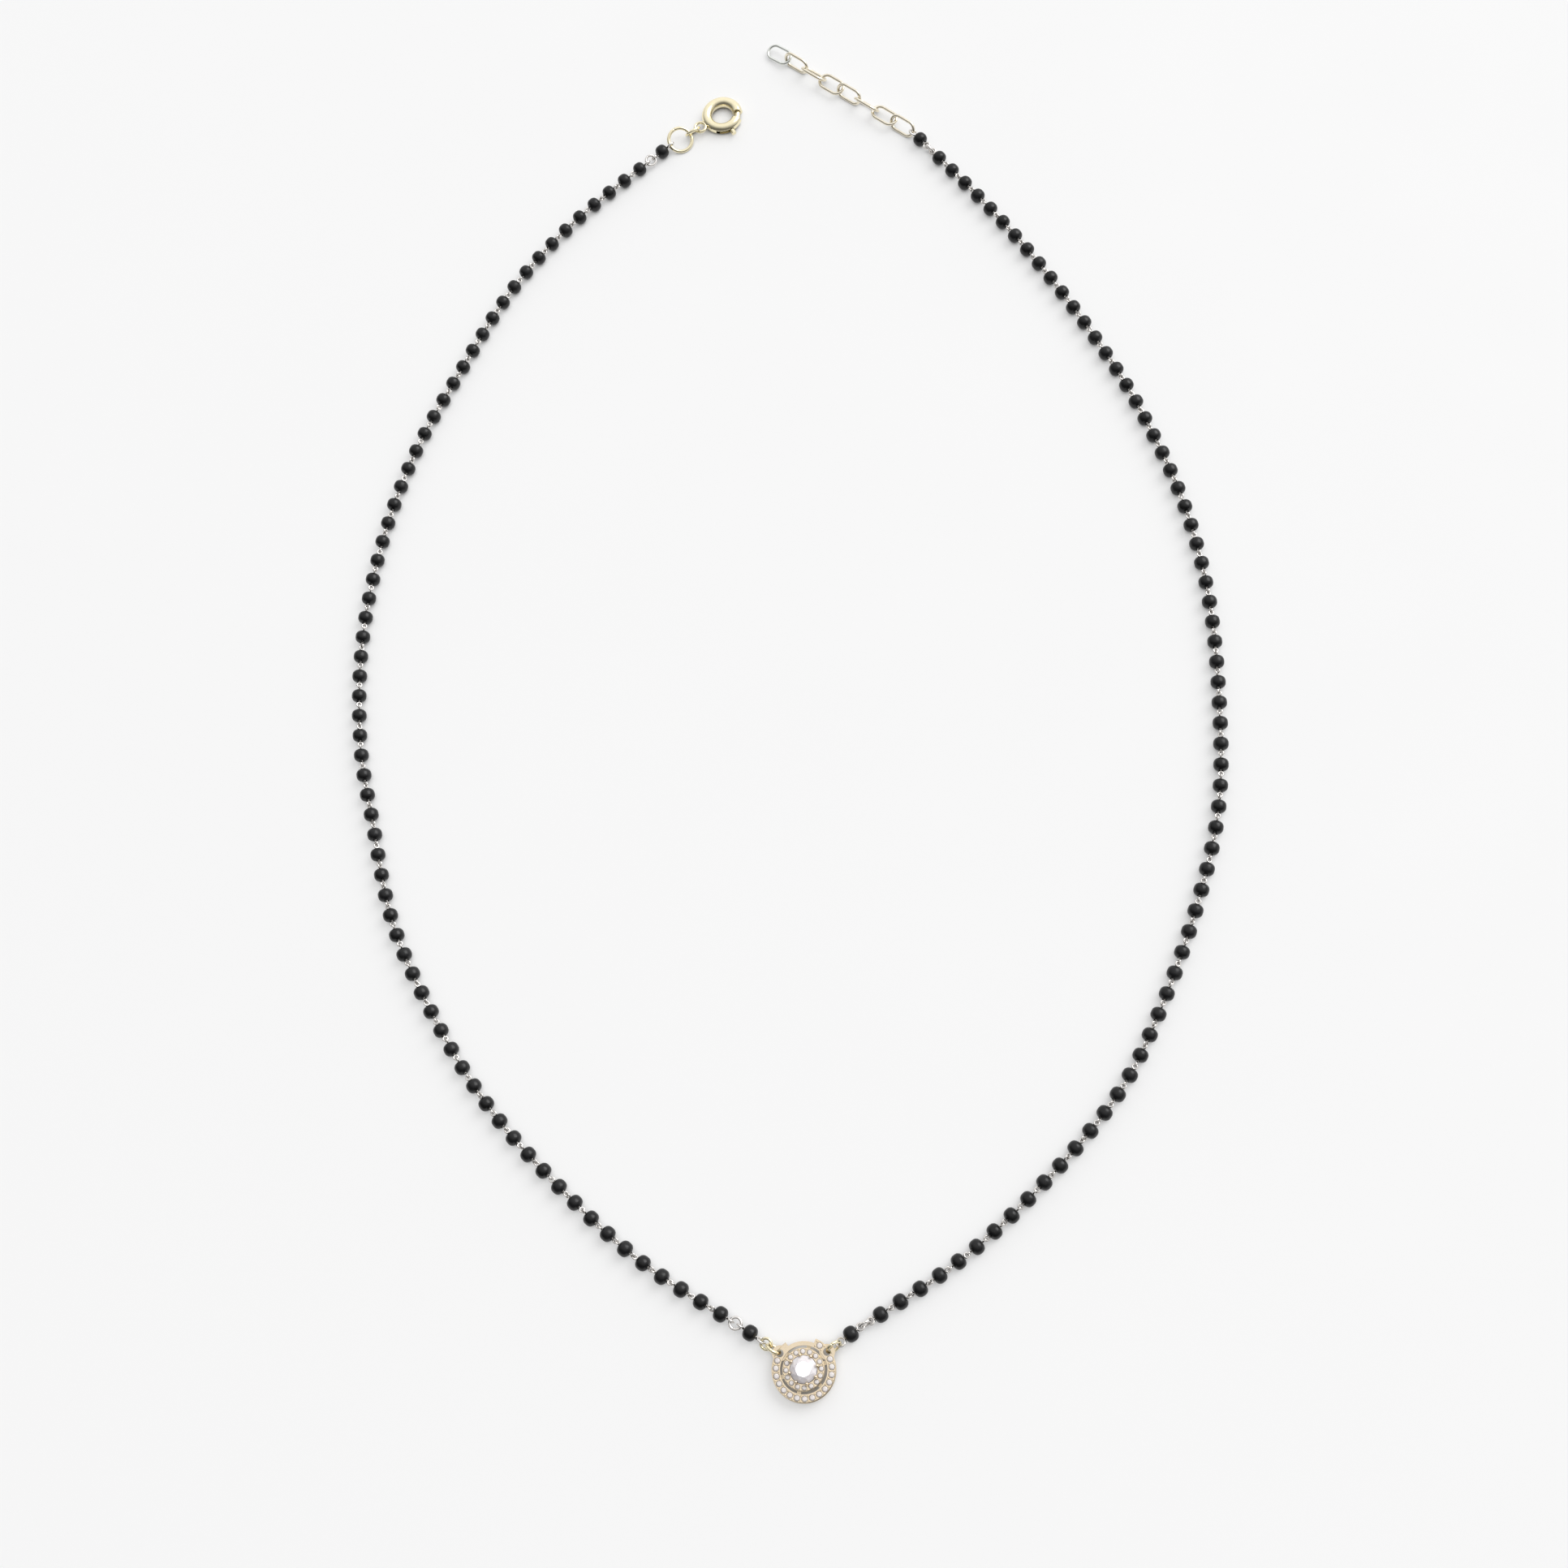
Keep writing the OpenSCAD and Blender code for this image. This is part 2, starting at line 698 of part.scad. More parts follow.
module left_second_ring() {
    color("palegoldenrod")
        chain_ring(
            from_pendant(left_ear_angle, second_ring_at), (ear_z + string_z) / 2, left_ear_angle,
            second_ring_roll, second_ring_d, second_ring_wire
        );
}

module right_pendant_ring() {
    color("palegoldenrod")
        chain_ring(
            from_pendant(right_ear_angle, right_ring_at), ear_z, right_ear_angle,
            right_ring_roll, right_ring_d, ear_ring_wire
        );
}

module at_clasp() {
    translate([clasp_at[0], clasp_at[1], tube_z])
        rotate([0, 0, clasp_heading])
            children();
}

// Hollow ring of tube, open at the mouth, with a slot for the lever and a soldered lug
module clasp_body() {
    bore = bolt_d + 2 * bolt_clearance;
    color("khaki")
        at_clasp()
            difference() {
                union() {
                    arc_tube(clasp_r, tube_d, mouth_high, 360 + mouth_low);
                    translate([-lug_at, 0, lug_z - tube_z])
                        rotate([lug_roll, 0, 0])
                            arc_tube(lug_ring_r, lug_wire, 0, 360);
                }
                arc_tube(clasp_r, bore, bolt_tail - bolt_travel - bolt_play, mouth_low + past);
                arc_tube(clasp_r, bore, mouth_high - past, bolt_tip + bolt_play);
                rotate([0, 0, lever_angle - bolt_travel - slot_margin])
                    rotate_extrude(angle = bolt_travel + 2 * slot_margin)
                        translate([clasp_r, -slot_half])
                            square([tube_d, 2 * slot_half]);
            }
}

// Bolt curved to the ring, with a post through the slot and a thumb knob
module clasp_bolt() {
    color("khaki")
        at_clasp() {
            arc_tube(clasp_r, bolt_d, bolt_tail, bolt_tip);
            rotate([0, 0, lever_angle])
                rotate([0, 90, 0]) {
                    translate([0, 0, clasp_r])
                        cylinder(d = post_d, h = tube_d / 2 + bolt_clearance + solder);
                    translate([0, 0, clasp_d / 2 + bolt_clearance])
                        cylinder(d = knob_d, h = knob_h);
                }
        }
}

module clasp_small_ring() {
    color("khaki")
        chain_ring(
            small_ring_at, ring_rest(small_ring_d, small_ring_wire, small_ring_roll), clasp_heading,
            small_ring_roll, small_ring_d, small_ring_wire
        );
}

module clasp_jump_ring() {
    color("khaki")
        chain_ring(
            jump_ring_at, ring_rest(jump_ring_d, jump_ring_wire, jump_ring_roll), clasp_heading,
            jump_ring_roll, jump_ring_d, jump_ring_wire
        );
}

// Oval link: two half rings joined by two straight wires
module oval_link() {
    for (side = [0, 180])
        rotate([0, 0, side]) {
            translate([link_straight / 2, 0, 0])
                arc_tube(link_half_w, link_wire, -quarter_turn, quarter_turn);
            translate([0, link_half_w, 0])
                rotate([0, 90, 0])
                    cylinder(d = link_wire, h = link_straight, center = true);
        }
}

module extender_link(i) {
    at = on_curve(extender_tables, link_s(i));
    ahead = on_curve(extender_tables, link_s(i) + link_straight / 2);
    behind = on_curve(extender_tables, link_s(i) - link_straight / 2);
    color("antiquewhite")
        translate([at[0], at[1], link_z(i)])
            rotate([0, link_droop(i), heading(behind, ahead)])
                rotate([link_roll(i), 0, 0])
                    oval_link();
}

left_beads();
right_beads();
left_wire();
right_wire();
left_front_pin();
right_front_pin();
left_back_pin();
right_back_pin();
left_front_ring();
right_front_ring();
left_back_ring();
right_back_ring();
pendant_setting();
centre_stone();
inner_halo_stones();
outer_halo_stones();
left_pendant_ring();
left_second_ring();
right_pendant_ring();
clasp_body();
clasp_bolt();
clasp_small_ring();
clasp_jump_ring();
for (i = [1:links])
    extender_link(i);
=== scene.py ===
"""Black-bead necklace with a double-halo pendant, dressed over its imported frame."""

import bpy
import numpy as np
from bpy.props import FloatProperty, FloatVectorProperty, IntProperty, PointerProperty
from mathutils import Matrix, Vector


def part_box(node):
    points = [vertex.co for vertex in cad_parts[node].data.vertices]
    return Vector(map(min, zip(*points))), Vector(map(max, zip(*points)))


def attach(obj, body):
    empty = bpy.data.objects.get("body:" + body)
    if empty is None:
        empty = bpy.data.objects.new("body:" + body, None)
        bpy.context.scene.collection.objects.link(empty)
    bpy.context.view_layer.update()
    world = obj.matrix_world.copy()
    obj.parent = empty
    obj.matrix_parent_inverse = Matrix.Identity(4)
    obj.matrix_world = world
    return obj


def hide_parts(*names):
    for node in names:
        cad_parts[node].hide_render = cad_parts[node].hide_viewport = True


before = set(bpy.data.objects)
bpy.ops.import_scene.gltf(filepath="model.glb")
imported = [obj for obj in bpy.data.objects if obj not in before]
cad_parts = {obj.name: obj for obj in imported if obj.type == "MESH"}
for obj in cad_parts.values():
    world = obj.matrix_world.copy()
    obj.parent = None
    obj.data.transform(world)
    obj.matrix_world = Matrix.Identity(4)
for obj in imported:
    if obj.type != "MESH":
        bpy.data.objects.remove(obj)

bl_info = {
    "name": "Black-bead necklace",
    "version": (1, 0, 0),
    "blender": (4, 5, 0),
    "location": "View3D > Sidebar > Necklace",
    "description": "Beads, linked wire, rings, chain, stones and finishes of a black-bead necklace",
    "category": "Object",
}

MM = 0.001
BODY = "necklace"

# Few chosen points of each string, from the pendant to its last bead, and of the extender, in millimetres
LEFT_ROUTE = [
    (-20, -79), (-30, -69.5), (-39, -59), (-46, -47.5), (-52, -34), (-55, -20), (-57, -8), (-57, 6.5),
    (-54.5, 21), (-50, 34.5), (-43.5, 47), (-36, 59.5), (-26.5, 70), (-14, 80),
]
RIGHT_ROUTE = [
    (19, -80.5), (30, -71.5), (39.5, -61.5), (45.5, -51.5), (51.5, -38), (55.5, -25), (57, -10), (57, 4.5),
    (55, 18), (51, 31), (47, 40.5), (40.5, 53), (33, 65), (23.5, 78),
]
EXTENDER_ROUTE = [(15.5, 85.2), (2.5, 96)]
PENDANT_AT = np.array([-0.7, -92.6])
LEFT_EAR = np.radians(144)
RIGHT_EAR = np.radians(34)
LONE_STONE = np.radians(53.5)
CLASP_HEADING = np.radians(30)
ROUTE_STEPS = 12

# Where the camera stands, in millimetres, its right side and its back, and where the light comes from
CAMERA_AT = (22.88, -109.68, 269.77)
CAMERA_RIGHT = (0.9942, -0.0403, -0.0988)
CAMERA_BACK = (0.0808, -0.3205, 0.9438)
SKY_TOWARDS = (0.35, 0.75, 0.55)
KEY_AT = (2.4, 1.8, 2.8)
PIN_COLOUR = (0.93, 0.91, 1.0)

# Rolls of the rings about their chain, in degrees: 0 lies flat and 90 stands up
LEFT_RING_ROLL = 70
SECOND_RING_ROLL = -20
RIGHT_RING_ROLL = 70
FRONT_ROLLS = {"left": 0, "right": 80}
BACK_ROLLS = {"left": 20, "right": 75}
JUMP_RING_ROLL = 22
SMALL_RING_ROLL = -60
FIRST_LINK_ROLL = -55
LINK_TURN = 57
FREE_END_DROOP = 8

# Steps round each kind of ring and round its wire
LINK_EYE_STEPS = (14, 6)
STRING_EYE_STEPS = (24, 8)
PIN_EYE_STEPS = (32, 10)
STRING_RING_STEPS = (44, 12)
PENDANT_RING_STEPS = (48, 12)
CLASP_RING_STEPS = (64, 14)
OVAL_STEPS = (48, 12)
BEAD_STEPS = 22
SHOULDER_STEPS = 6
GRAIN_STEPS = 8

# A bead's shoulder as a share of its length, and the roll of its mouth into the bore
BEAD_SHOULDER = 0.42
MOUTH_WIDENING = 0.06 * MM
MOUTH_DEPTH = 0.05 * MM
BORE_DEPTH = 0.4 * MM

# The hairline seam of a ring: half its length and its width in radians, and its depth as a share of the wire
SEAM_REACH = 0.05
SEAM_WIDTH = 0.02
SEAM_DEPTH = 0.25

# Heights on a grain's dome in degrees, and how deep its neck goes into the plate
DOME_LIFT = (0, 35, 65)
GRAIN_SINK = 0.1 * MM

# The wire's eyes draw their rolls from seeds that lie this far from the beads' seeds
WIRE_SEED = 10

# Patterns of the finishes, in spots for each metre, and the depth and strength of their relief
METAL_CLOUDS = 900
SCRATCHES = 700
SCRATCHES_ALONG = (9, 1, 3)
SCRATCHES_ACROSS = (1, 9, 3)
GLASS_DULLNESS = 1600
GLASS_WAVES = 1100
STONE_CLOUDS = 1500
STONE_DULLNESS = 4000
STONE_MARKS = 6000
GROUND_CLOUDS = 3
GROUND_GRAIN = 40
SCRATCH_RELIEF = (0.03 * MM, 0.25)
WAVE_RELIEF = (0.04 * MM, 0.3)
MARK_RELIEF = (0.01 * MM, 0.02)

# Darkest and lightest tone of each finish as shares of its colour, and its roughness where smooth and dull
GLASS_TONES = (0.7, 1.9)
GLASS_ROUGHNESS = (0.24, 0.32)
GLASS_SPOTS = 0.08
STONE_TONES = (0.94, 1.04)
STONE_ROUGHNESS = (0.01, 0.03)
GROUND_TONE = 0.995
GROUND_ROUGHNESS = (0.75, 0.85)

# Roughness of each metal where it is brightest and where it is dullest
POLISH = {
    "grey_wire": (0.16, 0.34),
    "end_wire": (0.14, 0.3),
    "pendant_gold": (0.12, 0.3),
    "setting_gold": (0.12, 0.3),
    "clasp_gold": (0.1, 0.26),
    "bolt_gold": (0.14, 0.3),
    "champagne_links": (0.14, 0.32),
    "end_link": (0.14, 0.32),
}

# How far worn spots of metal are tarnished, and the brightness of tarnish and of painted shade as a share and
# their colour as a power of the metal's. The bolt is a little darker than its ring.
WEAR = 0.12
TARNISH_AND_SHADE = 0.45
TARNISH_AND_SHADE_WARMTH = 1.5
BOLT_TONE = 0.95

# Openness between which metal takes painted shade or none, and between which the ground takes painted shadow
# or glows
PAINTED_SHADE_OPENNESS = (0.25, 0.75)
GLOW_OPENNESS = (0.2, 0.6)

GLASS_IOR = 1.52
GLASS_SPECULAR = 0.36
STONE_IOR = 2.1
STONE_CLEARNESS = 0.15


def number_property(name, description, default, **kind):
    """A number of the sidebar, with its unit or subtype where it has one."""
    return FloatProperty(name=name, description=description, default=default, **kind)


def size_property(name, description, millimetres):
    """A length of the sidebar, given in millimetres."""
    return number_property(name, description, millimetres * MM, unit="LENGTH")


def colour_property(name, description, default):
    """A colour of the sidebar."""
    return FloatVectorProperty(
        name=name, description=description, default=default, subtype="COLOR", min=0, max=1
    )


class StringSizes(bpy.types.PropertyGroup):
    """Sizes of the two strings: the beads, the linked wire between them and the rings at their ends."""

    bead_diameter: size_property("Bead diameter", "Across the hole", 2.0)
    bead_length: size_property("Bead length", "Along the hole", 1.65)
    bead_bore: size_property("Bead bore", "Diameter of the hole", 0.7)
    bead_pitch: size_property("Bead pitch", "From one bead to the next", 2.85)
    end_gap: size_property("End gap", "From an end bead to its string", 4.25)
    eye_gap: size_property("Eye gap", "Between a bead and the eye beside it", 0.02)
    hook_slack: size_property("Hook slack", "Play of two hooked rings", 0.12)
    end_eye_slack: size_property("End eye slack", "Play of an end eye in the ring or link beside it", 0.18)
    link_wire: size_property("Link wire", "Diameter of the wire between the beads", 0.24)
    link_eye: size_property("Link eye", "Outer diameter of the eyes between the beads", 0.86)
    link_hold: size_property("Link hold", "Between the middles of two hooked eyes", 0.34)
    ring_eye: size_property("Ring eye", "Outer diameter of an eye that holds a string ring", 1.16)
    end_eye: size_property("End eye", "Outer diameter of an eye beside the pendant, clasp or extender", 1.44)
    pin_wire: size_property("Pin wire", "Diameter of the wire of the end pins", 0.3)
    string_ring: size_property("String ring", "Outer diameter of the ring in a long gap", 1.8)
    string_ring_wire: size_property("String ring wire", "Diameter of its wire", 0.36)
    unevenness: number_property(
        "Unevenness", "Largest difference in size from bead to bead", 0.03, subtype="FACTOR"
    )
    seed: IntProperty(name="Seed", description="Chooses the uneven beads and the eyes' rolls", default=7)


class PendantSizes(bpy.types.PropertyGroup):
    """Sizes of the pendant that its rings and grains keep to, and of those rings and grains."""

    halo: size_property("Halo", "Outer diameter of the raised halo", 7.8)
    halo_width: size_property("Halo width", "Width of its band", 1.05)
    halo_top: size_property("Halo top", "Height of its face above the table", 1.6)
    collet_top: size_property("Collet top", "Height of the inner halo above the table", 2.0)
    inner_halo: size_property("Inner halo", "Diameter through the stones of the inner halo", 4.24)
    inner_stones: IntProperty(name="Inner stones", description="Stones of the inner halo", default=16)
    outer_pitch: size_property("Outer pitch", "From one stone of the outer halo to the next", 0.95)
    outer_seat: size_property("Outer seat", "Diameter of the seat of such a stone", 0.78)
    seat_gap: size_property("Seat gap", "Metal between an ear's hole and the seat beside it", 0.03)
    ear_hole: size_property("Ear hole", "Diameter of the hole in an ear", 0.94)
    ear_edge: size_property("Ear edge", "From the pendant's middle to the far side of an ear's hole", 3.95)
    ear_height: size_property("Ear height", "Middle of an ear above the table", 1.25)
    ear_slack: size_property("Ear slack", "Play of a ring in its ear", 0.2)
    ear_ring: size_property("Ear ring", "Outer diameter of the ring in each ear", 2.2)
    ear_ring_wire: size_property("Ear ring wire", "Diameter of its wire", 0.4)
    second_ring: size_property("Second ring", "Outer diameter of the second ring on the left", 1.7)
    second_ring_wire: size_property("Second ring wire", "Diameter of its wire", 0.36)
    grain: size_property("Grain", "Diameter of the grains that hold the halo stones", 0.22)
    outer_grain_out: size_property("Outer grains", "Grains of the outer halo on each side of its middle", 0.3)
    inner_grain_out: size_property("Inner grains", "Grains of the inner halo outside its middle", 0.27)


class ChainSizes(bpy.types.PropertyGroup):
    """Sizes of the clasp's rings and of the extender's links."""

    small_ring: size_property("Small ring", "Outer diameter of the ring on the clasp's lug", 2.5)
    small_ring_wire: size_property("Small ring wire", "Diameter of its wire", 0.4)
    jump_ring: size_property("Jump ring", "Outer diameter of the large ring", 3.9)
    jump_ring_wire: size_property("Jump ring wire", "Diameter of its wire", 0.5)
    link_length: size_property("Link length", "Outer length of an extender link", 4.3)
    link_width: size_property("Link width", "Outer width of an extender link", 2.5)
    link_wire: size_property("Link wire", "Diameter of its wire", 0.44)
    link_slack: size_property("Link slack", "Play of two hooked links", 0.2)
    carried: number_property(
        "Carried", "Share of its neighbours' height at which a link hangs between them", 0.46,
        subtype="FACTOR",
    )
    carried_last: number_property(
        "Carried at the end", "Share of the last but one link's height for the free link", 0.66,
        subtype="FACTOR",
    )
    links: IntProperty(name="Links", description="Number of extender links", default=8)


class Colours(bpy.types.PropertyGroup):
    """Colours of the finishes, and how near metal takes painted shade."""

    bead: colour_property("Bead", "Black glass", (0.003, 0.003, 0.0035))
    wire: colour_property("Wire", "Metal between the beads", (0.86, 0.83, 0.80))
    gold: colour_property("Gold", "Pale gold of the clasp and pendant", (0.97, 0.88, 0.62))
    extender: colour_property("Extender", "Champagne grey of the links", (0.92, 0.85, 0.70))
    end_link: colour_property("End link", "Cool grey of the free link", (0.86, 0.88, 0.84))
    stone: colour_property("Stone", "Clear centre stone", (0.99, 0.93, 0.95))
    rosy_gold: colour_property("Rosy gold", "Pale gold of the pendant's halos", (0.88, 0.74, 0.54))
    # Painted shade: metal darkens within this reach of a neighbour
    painted_shade_reach: size_property("Tarnish reach", "How near metal has to be to its neighbour to darken", 0.5)
    halo_stone: colour_property("Halo stone", "Small stones of the halos", (1.0, 0.92, 0.90))


class StageSettings(bpy.types.PropertyGroup):
    """Floor, light and camera."""

    floor: colour_property("Floor", "White ground", (0.45, 0.45, 0.45))
    floor_size: number_property("Floor size", "Width of the ground", 4.0, unit="LENGTH")
    floor_glow: number_property("Floor glow", "Light that comes through the white ground from below", 0.485)
    shadow_reach: size_property("Shadow reach", "How near a piece has to be to shade the glow", 3)
    sky_low: number_property("Low sky", "Brightness away from the light", 0.15)
    sky_high: number_property("High sky", "Brightness towards the light", 1.05)
    sky_start: number_property("Sky start", "Cosine to the light at which the low sky ends", -0.3)
    sky_stop: number_property("Sky stop", "Cosine to the light at which the high sky begins", 0.9)
    backdrop: number_property("Backdrop", "Brightness seen behind the floor", 0.97)
    key: number_property("Key light", "Power of the large soft light", 85.0, unit="POWER")
    key_size: number_property("Key size", "Width of the large soft light", 3.2, unit="LENGTH")
    pin: number_property("Pin light", "Power of the small light on the centre stone", 0.00015, unit="POWER")
    pin_size: size_property("Pin size", "Width of the small light", 2.8)
    pin_height: size_property("Pin height", "How far above the stone it hangs", 120)
    lens: number_property("Lens", "Focal length on a 36 mm sensor", 50.0, unit="CAMERA")


def settings():
    """Sizes of the strings, the pendant and the chain, and the colours, as the sidebar shows them."""
    scene = bpy.context.scene
    return scene.necklace_strings, scene.necklace_pendant, scene.necklace_chain, scene.necklace_colours


# Curves and places


def smooth_route(points):
    """Smooth curve through flat points: on each span a cubic that passes both ends and leaves each of them
    parallel to the line between its two neighbours. The first and last spans are mirrored past the ends."""
    p = np.asarray(points, float)
    padded = np.vstack([2 * p[0] - p[1], p, 2 * p[-1] - p[-2]])
    a, b, c, d = (padded[k:len(p) - 1 + k, None] for k in range(4))
    t = (np.arange(ROUTE_STEPS) / ROUTE_STEPS)[None, :, None]
    curve = (2 * b + (c - a) * t + (2 * a - 5 * b + 4 * c - d) * t**2 + (3 * b - a - 3 * c + d) * t**3) / 2
    return np.vstack([curve.reshape(-1, 2), p[-1:]])


def along(curve, distance):
    """Points of a curve at given distances from its start along its straight pieces, and its whole length."""
    s = np.concatenate([[0], np.cumsum(np.linalg.norm(np.diff(curve, axis=0), axis=1))])
    return np.stack([np.interp(distance, s, curve[:, k]) for k in (0, 1)], -1), s[-1]


def direction(angle):
    """Flat direction at an angle from the right."""
    return np.stack([np.cos(angle), np.sin(angle)], -1)


def headings(places):
    """Heading at each place: the way from the place before it to the one after it."""
    d = np.vstack([places[1:], places[-1:]]) - np.vstack([places[:1], places[:-1]])
    return np.arctan2(d[:, 1], d[:, 0])


def inner(outer, wire):
    """Inner radius of a ring of round wire."""
    return outer / 2 - wire


def eye_out(sizes, eye):
    """Distance from the middle of a bead to the middle of the eye beside it."""
    return sizes.bead_length / 2 + sizes.eye_gap + eye / 2


def ear_ring_at(pendant):
    """Distance from the pendant's middle to the middle of a ring in an ear."""
    return pendant.ear_edge + inner(pendant.ear_ring, pendant.ear_ring_wire) - pendant.ear_slack


def second_ring_at(pendant, slack):
    """Distance from the pendant's middle to the middle of the second ring on the left."""
    first = inner(pendant.ear_ring, pendant.ear_ring_wire)
    return ear_ring_at(pendant) + first + inner(pendant.second_ring, pendant.second_ring_wire) - slack


def bead_places(side):
    """Middles of the beads of one string: the first and last stand off by the end gap, the rest are even."""
    sizes, pendant, _, _ = settings()
    eye = inner(sizes.end_eye, sizes.pin_wire)
    if side == "left":
        ring = second_ring_at(pendant, sizes.hook_slack)
        ring = ring + inner(pendant.second_ring, pendant.second_ring_wire)
        angle, route = LEFT_EAR, LEFT_ROUTE
    else:
        ring = ear_ring_at(pendant) + inner(pendant.ear_ring, pendant.ear_ring_wire)
        angle, route = RIGHT_EAR, RIGHT_ROUTE
    reach = ring + eye - sizes.hook_slack + eye_out(sizes, sizes.end_eye)
    first = PENDANT_AT * MM + reach * direction(angle)
    curve = smooth_route(np.vstack([first, np.array(route) * MM]))
    _, length = along(curve, 0)
    even = length - 2 * sizes.end_gap
    spans = round(even / sizes.bead_pitch)
    at = np.concatenate([[0], sizes.end_gap + even * np.arange(spans + 1) / spans, [length]])
    return along(curve, at)[0]


# Surfaces


def chain_axes(heading, roll):
    """Axes of a piece on a chain, which heads one way along the ground and is rolled about that way: along
    the chain, across the piece and out of its plane."""
    heading, roll = np.broadcast_arrays(np.asarray(heading, float), np.asarray(roll, float))
    c, s, cr, sr = np.cos(heading), np.sin(heading), np.cos(roll), np.sin(roll)
    zero = np.zeros_like(c)
    chain = np.stack([c, s, zero], -1)
    across = np.stack([-s * cr, c * cr, sr], -1)
    out = np.stack([s * sr, -c * sr, cr], -1)
    return np.stack([chain, across, out], -2)


def placed(local, centres, axes):
    """Local points of one shape at every centre: the centre + x along + y across + z out, by its axes."""
    turned = np.einsum("...k,nkj->n...j", np.asarray(local, float), axes)
    centres = np.asarray(centres, float)
    return turned + centres.reshape(centres.shape[:1] + (1,) * (turned.ndim - 2) + (3,))


def grid_faces(rows, columns, close_rows=False, copies=1):
    """Four-sided faces of a grid that is closed round its columns, and round its rows where asked."""
    last = rows if close_rows else rows - 1
    i, j = np.meshgrid(np.arange(last), np.arange(columns), indexing="ij")
    k, l = (i + 1) % rows, (j + 1) % columns
    quads = np.stack([i * columns + j, k * columns + j, k * columns + l, i * columns + l], -1).reshape(-1, 4)
    return (quads[None] + (np.arange(copies) * rows * columns)[:, None, None]).reshape(-1, 4)


def cap_faces(columns, start, turn):
    """Faces that close one ring of corners with four-sided faces that reach from side to side."""
    half = np.arange(columns // 2 - 1)
    quads = np.stack([half, half + 1, columns - 2 - half, columns - 1 - half], -1)
    return start + (quads if turn else quads[:, ::-1])


def closed_sweep(rows, columns, copies=1):
    """Faces of a grid that is closed round its columns, with both its ends capped."""
    start, end = cap_faces(columns, 0, True), cap_faces(columns, (rows - 1) * columns, False)
    one = np.vstack([grid_faces(rows, columns), start, end])
    return (one[None] + (np.arange(copies) * rows * columns)[:, None, None]).reshape(-1, 4)


def joined(*pieces):
    """Several surfaces as one: the corners one after the other, and the faces counted on."""
    corners, faces, start = [], [], 0
    for points, quads in pieces:
        points = points.reshape(-1, 3)
        corners.append(points)
        faces.append(quads + start)
        start += len(points)
    return np.vstack(corners), np.vstack(faces)


def outward(corners, faces):
    """Faces turned to look out: the volumes between each face and the first corner add up to more than 0."""
    a, b, c, d = (corners[faces[:, k]] - corners[0] for k in range(4))
    volume = (np.cross(a, b) * c).sum() + (np.cross(a, c) * d).sum()
    return faces if volume > 0 else faces[:, ::-1]


def ring_surface(centres, heading, roll, outer, wire, steps, seam=False):
    """Rings of round wire: at angle u round the ring and v round the wire the point is (R + r cos v) along
    the spoke u and r sin v out of the plane. At a seam, which lies across the chain, the wire narrows in a
    hairline: r is its radius less the share SEAM_DEPTH exp(-(u / SEAM_WIDTH)^2) of it."""
    around, section = steps
    if seam:
        close = SEAM_REACH * np.array([-1, -0.5, 0, 0.5, 1])
        u = np.concatenate([close, np.linspace(close[-1], 2 * np.pi + close[0], around, endpoint=False)[1:]])
    else:
        u = 2 * np.pi * np.arange(around) / around
    v = 2 * np.pi * np.arange(section) / section
    r = np.full((len(u), 1), wire / 2)
    if seam:
        r = r * (1 - SEAM_DEPTH * np.exp(-((np.angle(np.exp(1j * u)) / SEAM_WIDTH) ** 2)))[:, None]
    out = (outer - wire) / 2 + r * np.cos(v)
    spoke = np.pi / 2 if seam else 0
    local = np.stack(
        [out * np.cos(u + spoke)[:, None], out * np.sin(u + spoke)[:, None], r * np.sin(v)], -1
    )
    points = placed(local, centres, chain_axes(heading, roll))
    faces = grid_faces(len(u), section, True, len(points))
    return points, outward(points.reshape(-1, 3), faces)


def rod_surface(centres, heading, start, end, wire, section):
    """Straight round wires along their chain, closed at both ends: at angle v round the wire the point is
    r cos v across and r sin v up, at the start and at the end."""
    v = 2 * np.pi * np.arange(section) / section
    ends = np.array([start, end])[:, None] + 0 * v
    local = np.stack([ends, wire / 2 * np.cos(v) + 0 * ends, wire / 2 * np.sin(v) + 0 * ends], -1)
    points = placed(local, centres, chain_axes(heading, 0.0))
    faces = closed_sweep(2, section, len(points))
    return points, outward(points.reshape(-1, 3), faces)


def bead_surface(places, heading, height, sizes, scale, lean):
    """Drilled beads: the outline of a barrel with round shoulders, closed through the bore, is turned about
    the chain. The shoulder is a quarter circle, flattened at the mouth of the bore, where it rolls in."""
    r, half, bore = sizes.bead_diameter / 2, sizes.bead_length / 2, sizes.bead_bore / 2
    shoulder = BEAD_SHOULDER * sizes.bead_length
    a = np.radians(np.linspace(90, 0, SHOULDER_STEPS))
    rise = np.column_stack([half - shoulder + shoulder * np.cos(a), r - shoulder + shoulder * np.sin(a)])
    mouth = np.array([[half, bore + MOUTH_WIDENING], [half - MOUTH_DEPTH, bore], [half - BORE_DEPTH, bore]])
    side = np.vstack([rise, mouth])
    outline = np.vstack([side, side[::-1] * [-1, 1]])
    v = 2 * np.pi * np.arange(BEAD_STEPS) / BEAD_STEPS
    x = outline[:, 0][:, None] + 0 * v
    local = np.stack([x, outline[:, 1][:, None] * np.cos(v), outline[:, 1][:, None] * np.sin(v)], -1)
    local = local[None] * scale[:, None, None, :]
    axes = chain_axes(heading, lean)
    centres = np.column_stack([places, np.full(len(places), height)])
    points = np.einsum("nabk,nkj->nabj", local, axes) + centres[:, None, None, :]
    faces = grid_faces(len(outline), BEAD_STEPS, True, len(places))
    return points, outward(points.reshape(-1, 3), faces)


